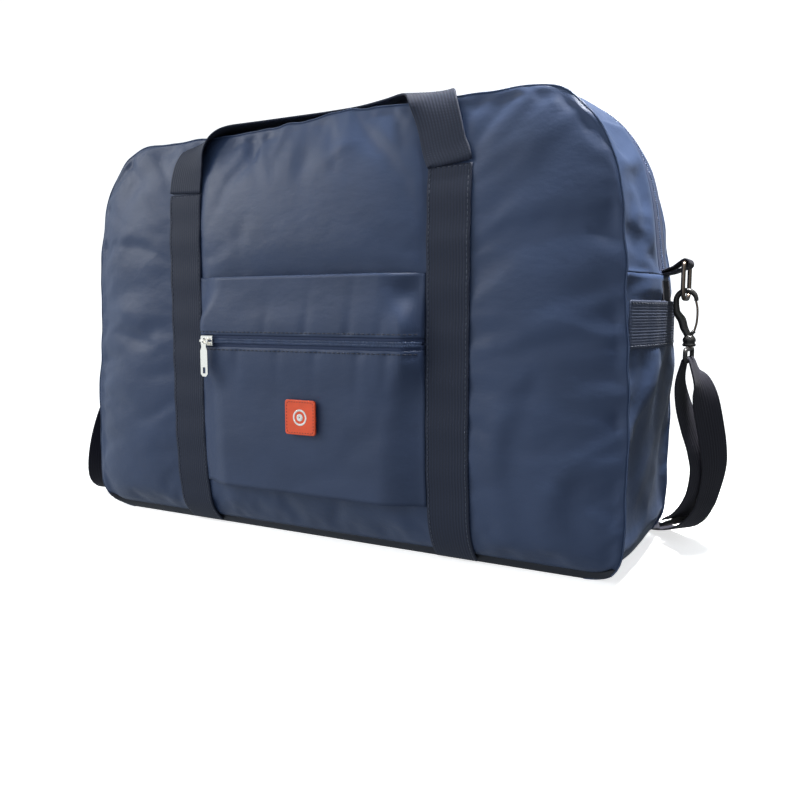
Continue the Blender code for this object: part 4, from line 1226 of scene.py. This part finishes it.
def build_patch():
    low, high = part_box("logo_patch")
    centre = np.array(((low.x + high.x) / 2, high.y, (low.z + high.z) / 2))
    width, height, thick = high.x - low.x, high.z - low.z, high.y - low.y
    front = centre[1] - thick
    rings = []
    for inset, out in ((0, 0), (0, thick * 0.75), (0.0005, thick), (0.0120, thick)):
        outline = rounded_plate(width - 2 * inset, height - 2 * inset, max(0.0022 - inset, 0.0006))
        rings.append([(centre[0] + a, centre[1] - out, centre[2] + b) for a, b in outline])
    points = np.array(rings).reshape(-1, 3)
    patch = dress(mesh_object("patch", points, tube_faces(len(rings), len(rings[0])), False),
                  "orange_leather")
    fasten(patch, node="logo_patch")
    border = rounded_plate(width - 0.0032, height - 0.0032, 0.0012)
    line = [(centre[0] + a, front, centre[2] + b) for a, b in np.vstack([border, border[:1]])]
    sewing = Batch()
    stitches(sewing, np.array(line), facing((0, -1, 0), len(line)), 0.0015, 0.0010, 0.00030)
    fasten(sewing.build("patch_stitching", "orange_thread"))
    for name, radius, bar in (("patch_ring", 0.0056, 0.00075), ("patch_dot", 0.0017, 0.0012)):
        ring = [(centre[0] + radius * math.cos(t), front, centre[2] + radius * math.sin(t))
                for t in np.arange(40) * math.tau / 40]
        mark = tube(name, ring, bar, "white_print", 10, cyclic=True, flatten=0.25)
        fasten(mark)


# ---- the main zip -------------------------------------------------------------------------
ZIP_STEPS = 400


def build_main_zip(threads):
    """The coil along the mid plane, with a row of stitches on each side of its tapes."""
    start = corner_arc(1, True, 0, 90)
    half = [(HALF_WIDTH, END_SEAM_Z + 0.001)] + start
    outline = half + [(-x, z) for x, z in reversed(half)]
    outline = resample(outline, np.linspace(0, 1, ZIP_STEPS))
    along = np.gradient(outline, axis=0)
    normal = np.stack([along[:, 1], -along[:, 0]], axis=1)
    normal = unit(normal * np.sign(normal[:, 1:] + 1e-9 + normal[:, :1] * np.sign(outline[:, :1])))

    def line(y, lift):
        out = crown(y, outline[:, 1])[:, None] + lift
        place = outline + normal * out
        return slump(np.stack([place[:, 0], np.full(len(place), y), place[:, 1]], axis=1))

    ups = np.stack([normal[:, 0], np.zeros(len(normal)), normal[:, 1]], axis=1)
    teeth = Batch()
    coil(teeth, line(0.0, CHAIN_RISE * 0.45), facing((0, 1, 0), ZIP_STEPS), ups, 0.0016, 0.0029)
    fasten(teeth.build("main_zip_coil", "zip_coil"), node="main_zip_chain")
    for y in (-ZIP_TAPE_Y - 0.0018, ZIP_TAPE_Y + 0.0018):
        stitches(threads, line(y, 0.0004), ups)


# ---- end bands, tabs, rings and hooks -----------------------------------------------------
RING_X, RING_PIVOT_Z, RING_BOTTOM_Z, RING_HALF, RING_WIRE = 0.2690, 0.2190, 0.1945, 0.0135, 0.00175
HOOK_X, HOOK_WIRE = 0.2725, 0.0020
EYE_TOP_Z, EYE_BOTTOM_Z, EYE_HALF, EYE_WIRE = 0.1590, 0.1505, 0.0152, 0.0016
STRAP, STRAP_THICK = 0.0250, 0.0014


def mid_plane(side, profile):
    """Points at y = 0 from (x, z) ones, on one side of the bag."""
    return [(side * x, 0.0, z) for x, z in profile]


def rounded_loop(half, top, bottom, upper, lower):
    """Closed (y, z) outline; upper and lower hold the corners' radius and steps."""
    (high, fine), (low, coarse) = upper, lower
    return (flat_arc((half - high, top - high), high, 90, 0, fine)
            + flat_arc((half - low, bottom + low), low, 0, -90, coarse)
            + flat_arc((-half + low, bottom + low), low, -90, -180, coarse)
            + flat_arc((-half + high, top - high), high, 180, 90, fine))


def build_band(word, side, threads):
    """Webbing across the end, sewn into the seams at both sides, slightly slack between them."""
    y = np.linspace(-HALF_DEPTH + 0.0016, HALF_DEPTH - 0.0016, 80)
    middle = np.full(80, (BAND_LOW.z + BAND_HIGH.z) / 2)
    width = BAND_HIGH.z - BAND_LOW.z
    waves = 0.0006 * np.sin(y * 150 + side) * (1 - (y / HALF_DEPTH) ** 2)
    out = HALF_WIDTH + crown(y, middle) + GAP + FABRIC / 2 + 0.0006 + np.abs(waves)
    path = slump(np.stack([side * out, y, middle], axis=1))
    piece = ribbon(word + "_end_tape", path, facing((0, 0, 1), 80), width, FABRIC, "band_webbing",
                   ribs=16, depth=0.0002)
    fasten(piece, node=word + "_end_band")
    for edge in (-1, 1):
        line = path + (side * FABRIC * 0.55, 0, edge * (width / 2 - 0.002))
        stitches(threads, line, facing((side, 0, 0), 80))


def build_end_seam(word, side, threads):
    """The folded edge along the seam between gusset and end panel, and its topstitching."""
    y = np.linspace(-HALF_DEPTH + 0.003, HALF_DEPTH - 0.003, 70)
    seam = np.full(70, END_SEAM_Z)
    out = HALF_WIDTH + crown(y, seam)
    line = slump(np.stack([side * (out - 0.0003), y, seam], axis=1))
    fasten(tube(word + "_end_seam_fold", line, 0.0010, "gusset_sheen_nylon", 10))
    stitches(threads, line + (side * 0.0006, 0, -0.0036), facing((side, 0, 0), 70))


def build_tab(word, side, threads):
    wrap_radius = RING_WIRE + GAP + 0.0001 + FABRIC / 2
    root = HALF_WIDTH + GUSSET_CROWN + CHAIN_RISE + GAP + FABRIC / 2 + 0.0002
    wrap = flat_arc((RING_X, RING_PIVOT_Z), wrap_radius, 125, -95, 24)
    inner = root - 0.0042
    profile = ([(inner, END_SEAM_Z + 0.0032), (root + 0.0035, END_SEAM_Z + 0.0062)] + wrap
               + [(root + 0.0030, END_SEAM_Z + 0.0024), (inner, END_SEAM_Z + 0.0010)])
    path = np.array(mid_plane(side, profile))
    across = facing((0, 1, 0), len(path))
    piece = ribbon(word + "_tab_tape", path, across, 0.021, FABRIC, "black_webbing", ribs=7,
                   spacing=0.0008)
    fasten(piece, node=word + "_ring_tab")
    bar = np.array([(side * (root + 0.0012), y, END_SEAM_Z + 0.0052) for y in (-0.009, 0.009)])
    stitches(threads, bar, facing((side * 0.6, 0, 0.8), 2))
    heights = np.linspace(BAND_HIGH.z - 0.002, END_SEAM_Z + 0.001, 24)
    out = HALF_WIDTH + crown(0.0, heights) + 0.0012
    path = slump(np.stack([side * out, np.zeros(24), heights], axis=1))
    tail = ribbon(word + "_tab_tail", path, facing((0, 1, 0), 24), 0.030, 0.0010,
                  "black_webbing", ribs=10, spacing=0.0012)
    fasten(tail)


def build_ring(word, side):
    outline = rounded_loop(RING_HALF, RING_PIVOT_Z, RING_BOTTOM_Z, (0.0030, 8), (0.0080, 14))
    piece = tube(word + "_ring_wire", [(side * RING_X, y, z) for y, z in outline],
                 RING_WIRE - 0.0002, "dark_metal", 14, cyclic=True)
    fasten(piece, word + "_ring", node=word + "_d_ring")


def build_hook(word, side):
    """Moulded hook: a collar, a thick back, and a round nose, with a wire gate."""
    bend = flat_arc((RING_X + 0.0005, RING_BOTTOM_Z - 0.0010), 0.0068, 180, -4, 30)
    spine = [(HOOK_X - 0.0004, 0.1672), (HOOK_X - 0.0020, 0.1705), (HOOK_X - 0.0040, 0.1745),
             (HOOK_X - 0.0056, 0.1800), (RING_X - 0.0057, 0.1850)]
    outline = spine + bend
    path = evenly(curve_through(mid_plane(side, outline), 2), 0.0012)[0]
    s = np.linspace(0, 1, len(path))
    thick = HOOK_WIRE * (0.98 + 0.48 * bell(s, 0.24, 0.15)) * (1 - 0.24 * step(s, 0.80, 1.0))
    body = tube(word + "_hook_body", path, thick, "black_plastic", 16, flatten=1.25)
    profile = [(0.0002, 0.0), (0.0040, 0.0), (0.0046, 0.0007), (0.0046, 0.0016), (0.0040, 0.0022),
               (0.0040, 0.0030), (0.0045, 0.0036), (0.0045, 0.0052), (0.0036, 0.0068),
               (0.0026, 0.0080), (0.0002, 0.0084)]
    collar = lathe(word + "_hook_collar", profile, (side * HOOK_X, 0, 0.1608), "black_plastic")
    lug_line = mid_plane(side, [(HOOK_X + 0.0002, 0.1693), (HOOK_X + 0.0018, 0.1702),
                                (HOOK_X + 0.0032, 0.1718)])
    lug = tube(word + "_gate_lug", lug_line, 0.0014, "black_plastic", 12)
    foot = HOOK_X + 0.0030
    nose_x, nose_z = bend[-1]
    gate_line = mid_plane(side, [(foot, 0.1712), (foot + 0.0016, 0.1780),
                                 (nose_x + 0.0010, nose_z - 0.0060),
                                 (nose_x - 0.0003, nose_z + 0.0004)])
    path = evenly(curve_through(gate_line, 8), 0.0010)[0]
    gate = tube(word + "_gate_wire", path, 0.0008, "dark_metal", 12)
    fasten(body, word + "_hook", node=word + "_snap_hook")
    fasten(collar, word + "_hook")
    fasten(lug, word + "_hook")
    fasten(gate, word + "_gate", node=word + "_hook_gate")


def build_eye(word, side):
    outline = rounded_loop(EYE_HALF, EYE_TOP_Z, EYE_BOTTOM_Z, (0.0028, 7), (0.0028, 7))
    piece = tube(word + "_eye_bar", [(side * HOOK_X, y, z) for y, z in outline], EYE_WIRE,
                 "black_plastic", 14, cyclic=True)
    fasten(piece, node=word + "_swivel_eye")
    profile = [(0.0002, 0.0), (0.0020, 0.0), (0.0020, 0.0022), (0.0002, 0.0022)]
    stem = lathe(word + "_eye_stem", profile, (side * HOOK_X, 0, EYE_TOP_Z + 0.0004),
                 "dark_metal", 16)
    fasten(stem)
    return piece


# ---- shoulder strap -----------------------------------------------------------------------
RETURN_RUN = [
    ((0.2578, 0.0612, 0.0198), (0.66, 0.75, 0)),
    ((0.2672, 0.0500, 0.0308), (0.45, 0.89, 0)),
    ((0.2765, 0.0370, 0.0475), (0.46, 0.89, 0)),
    ((0.2808, 0.0265, 0.0690), (0.48, 0.88, 0)),
    ((0.2790, 0.0185, 0.0845), (0.46, 0.89, 0)),
    ((0.2737, 0.0120, 0.1020), (0.38, 0.92, 0)),
    ((0.2690, 0.0060, 0.1190), (0.25, 0.97, 0)),
    ((0.2672, 0.0015, 0.1350), (0.10, 1, 0)),
]
OUTER_RUN = [
    ((0.2785, 0.0000, 0.1410), (0.10, 1, 0)),
    ((0.2818, 0.0035, 0.1320), (0.42, 0.91, 0)),
    ((0.2845, 0.0085, 0.1200), (0.58, 0.81, 0)),
    ((0.2868, 0.0150, 0.1050), (0.60, 0.80, 0)),
    ((0.2888, 0.0240, 0.0870), (0.58, 0.81, 0)),
    ((0.2890, 0.0350, 0.0680), (0.54, 0.84, 0)),
    ((0.2850, 0.0465, 0.0470), (0.50, 0.87, 0)),
    ((0.2800, 0.0520, 0.0315), (0.50, 0.86, 0)),
    ((0.2705, 0.0590, 0.0175), (0.60, 0.80, 0)),
    ((0.2560, 0.0740, 0.0075), (0.68, 0.73, 0)),
    ((0.2370, 0.0930, 0.0025), (0.62, 0.78, 0)),
    ((0.2110, 0.1120, 0.0016), (0.50, 0.87, 0)),
    ((0.1750, 0.1280, 0.0016), (0.33, 0.94, 0)),
    ((0.1250, 0.1400, 0.0016), (0.18, 0.98, 0)),
    ((0.0600, 0.1480, 0.0016), (0.08, 1, 0)),
    ((-0.0100, 0.1500, 0.0016), (-0.02, 1, 0)),
    ((-0.0800, 0.1460, 0.0016), (-0.12, 0.99, 0)),
    ((-0.1450, 0.1350, 0.0016), (-0.25, 0.97, 0)),
    ((-0.2000, 0.1190, 0.0016), (-0.42, 0.90, 0)),
    ((-0.2430, 0.0950, 0.0016), (-0.62, 0.78, 0)),
    ((-0.2700, 0.0640, 0.0016), (-0.86, 0.50, 0)),
    ((-0.2820, 0.0310, 0.0016), (-0.97, 0.22, 0)),
    ((-0.2860, -0.0020, 0.0020), (-1, 0.03, 0)),
    ((-0.2850, -0.0290, 0.0055), (-0.94, -0.34, 0)),
    ((-0.2815, -0.0440, 0.0200), (-0.68, -0.73, 0)),
    ((-0.2790, -0.0470, 0.0430), (-0.40, -0.92, 0)),
    ((-0.2780, -0.0410, 0.0700), (-0.22, -0.98, 0)),
    ((-0.2780, -0.0280, 0.0970), (-0.10, -0.99, 0)),
    ((-0.2780, -0.0120, 0.1210), (-0.03, -1, 0)),
    ((-0.2785, -0.0030, 0.1380), (0, -1, 0)),
]


def over_the_bar(side, first, last):
    radius = EYE_WIRE + GAP + STRAP_THICK / 2
    bend = flat_arc((HOOK_X, EYE_BOTTOM_Z), radius, first, last, 5)
    return [(place, (0, side, 0)) for place in mid_plane(side, bend)]


def build_strap():
    sewn = [((-0.2675, 0, 0.1400), (0, -1, 0)), ((-0.2690, -0.0010, 0.1280), (0, -1, 0))]
    route = RETURN_RUN + over_the_bar(1, 180, 0) + OUTER_RUN + over_the_bar(-1, 0, 180) + sewn
    path = curve_through([place for place, _ in route], 8)
    across = curve_through([width for _, width in route], 8)
    strap = ribbon("strap_tape", path, across, STRAP, STRAP_THICK, "black_webbing", ribs=9)
    fasten(strap, node="shoulder_strap")


KEPT = {
    "main_slider_right": "polished_metal", "main_slider_left": "polished_metal",
    "main_pull_right": "polished_metal", "main_pull_left": "polished_metal",
    "pocket_slider": "polished_metal", "pocket_pull": "polished_metal",
    "strap_adjuster": "black_plastic",
}


def keep_nodes():
    """CAD pieces whose shape is right get rounded edges and a real finish."""
    for name, finish in KEPT.items():
        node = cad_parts[name]
        for place in node.material_slots:
            place.link = "OBJECT"
            place.material = MATERIALS[finish]
        edge = node.modifiers.new("rounded", "BEVEL")
        edge.width = 0.00035
        edge.segments = 2
        edge.limit_method = "ANGLE"


def main():
    build_stage()
    build_materials()
    keep_nodes()
    build_seam_piping(*build_body())
    threads, dark, black = Batch(), Batch(), Batch()
    build_face_webbing(threads)
    build_handles()
    build_sleeve(dark)
    build_patch()
    build_main_zip(threads)
    for side, word in ((1, "right"), (-1, "left")):
        build_band(word, side, threads)
        build_end_seam(word, side, threads)
        build_tab(word, side, black)
        build_ring(word, side)
        build_hook(word, side)
        build_eye(word, side)
    build_strap()
    for batch, name, finish, place in ((threads, "stitching", "navy_thread", "navy_webbing"),
                                       (dark, "pocket_stitching", "dark_thread", "zip_tape"),
                                       (black, "tab_stitching", "black_thread", "black_webbing")):
        fasten(batch.build(name, finish))


main()
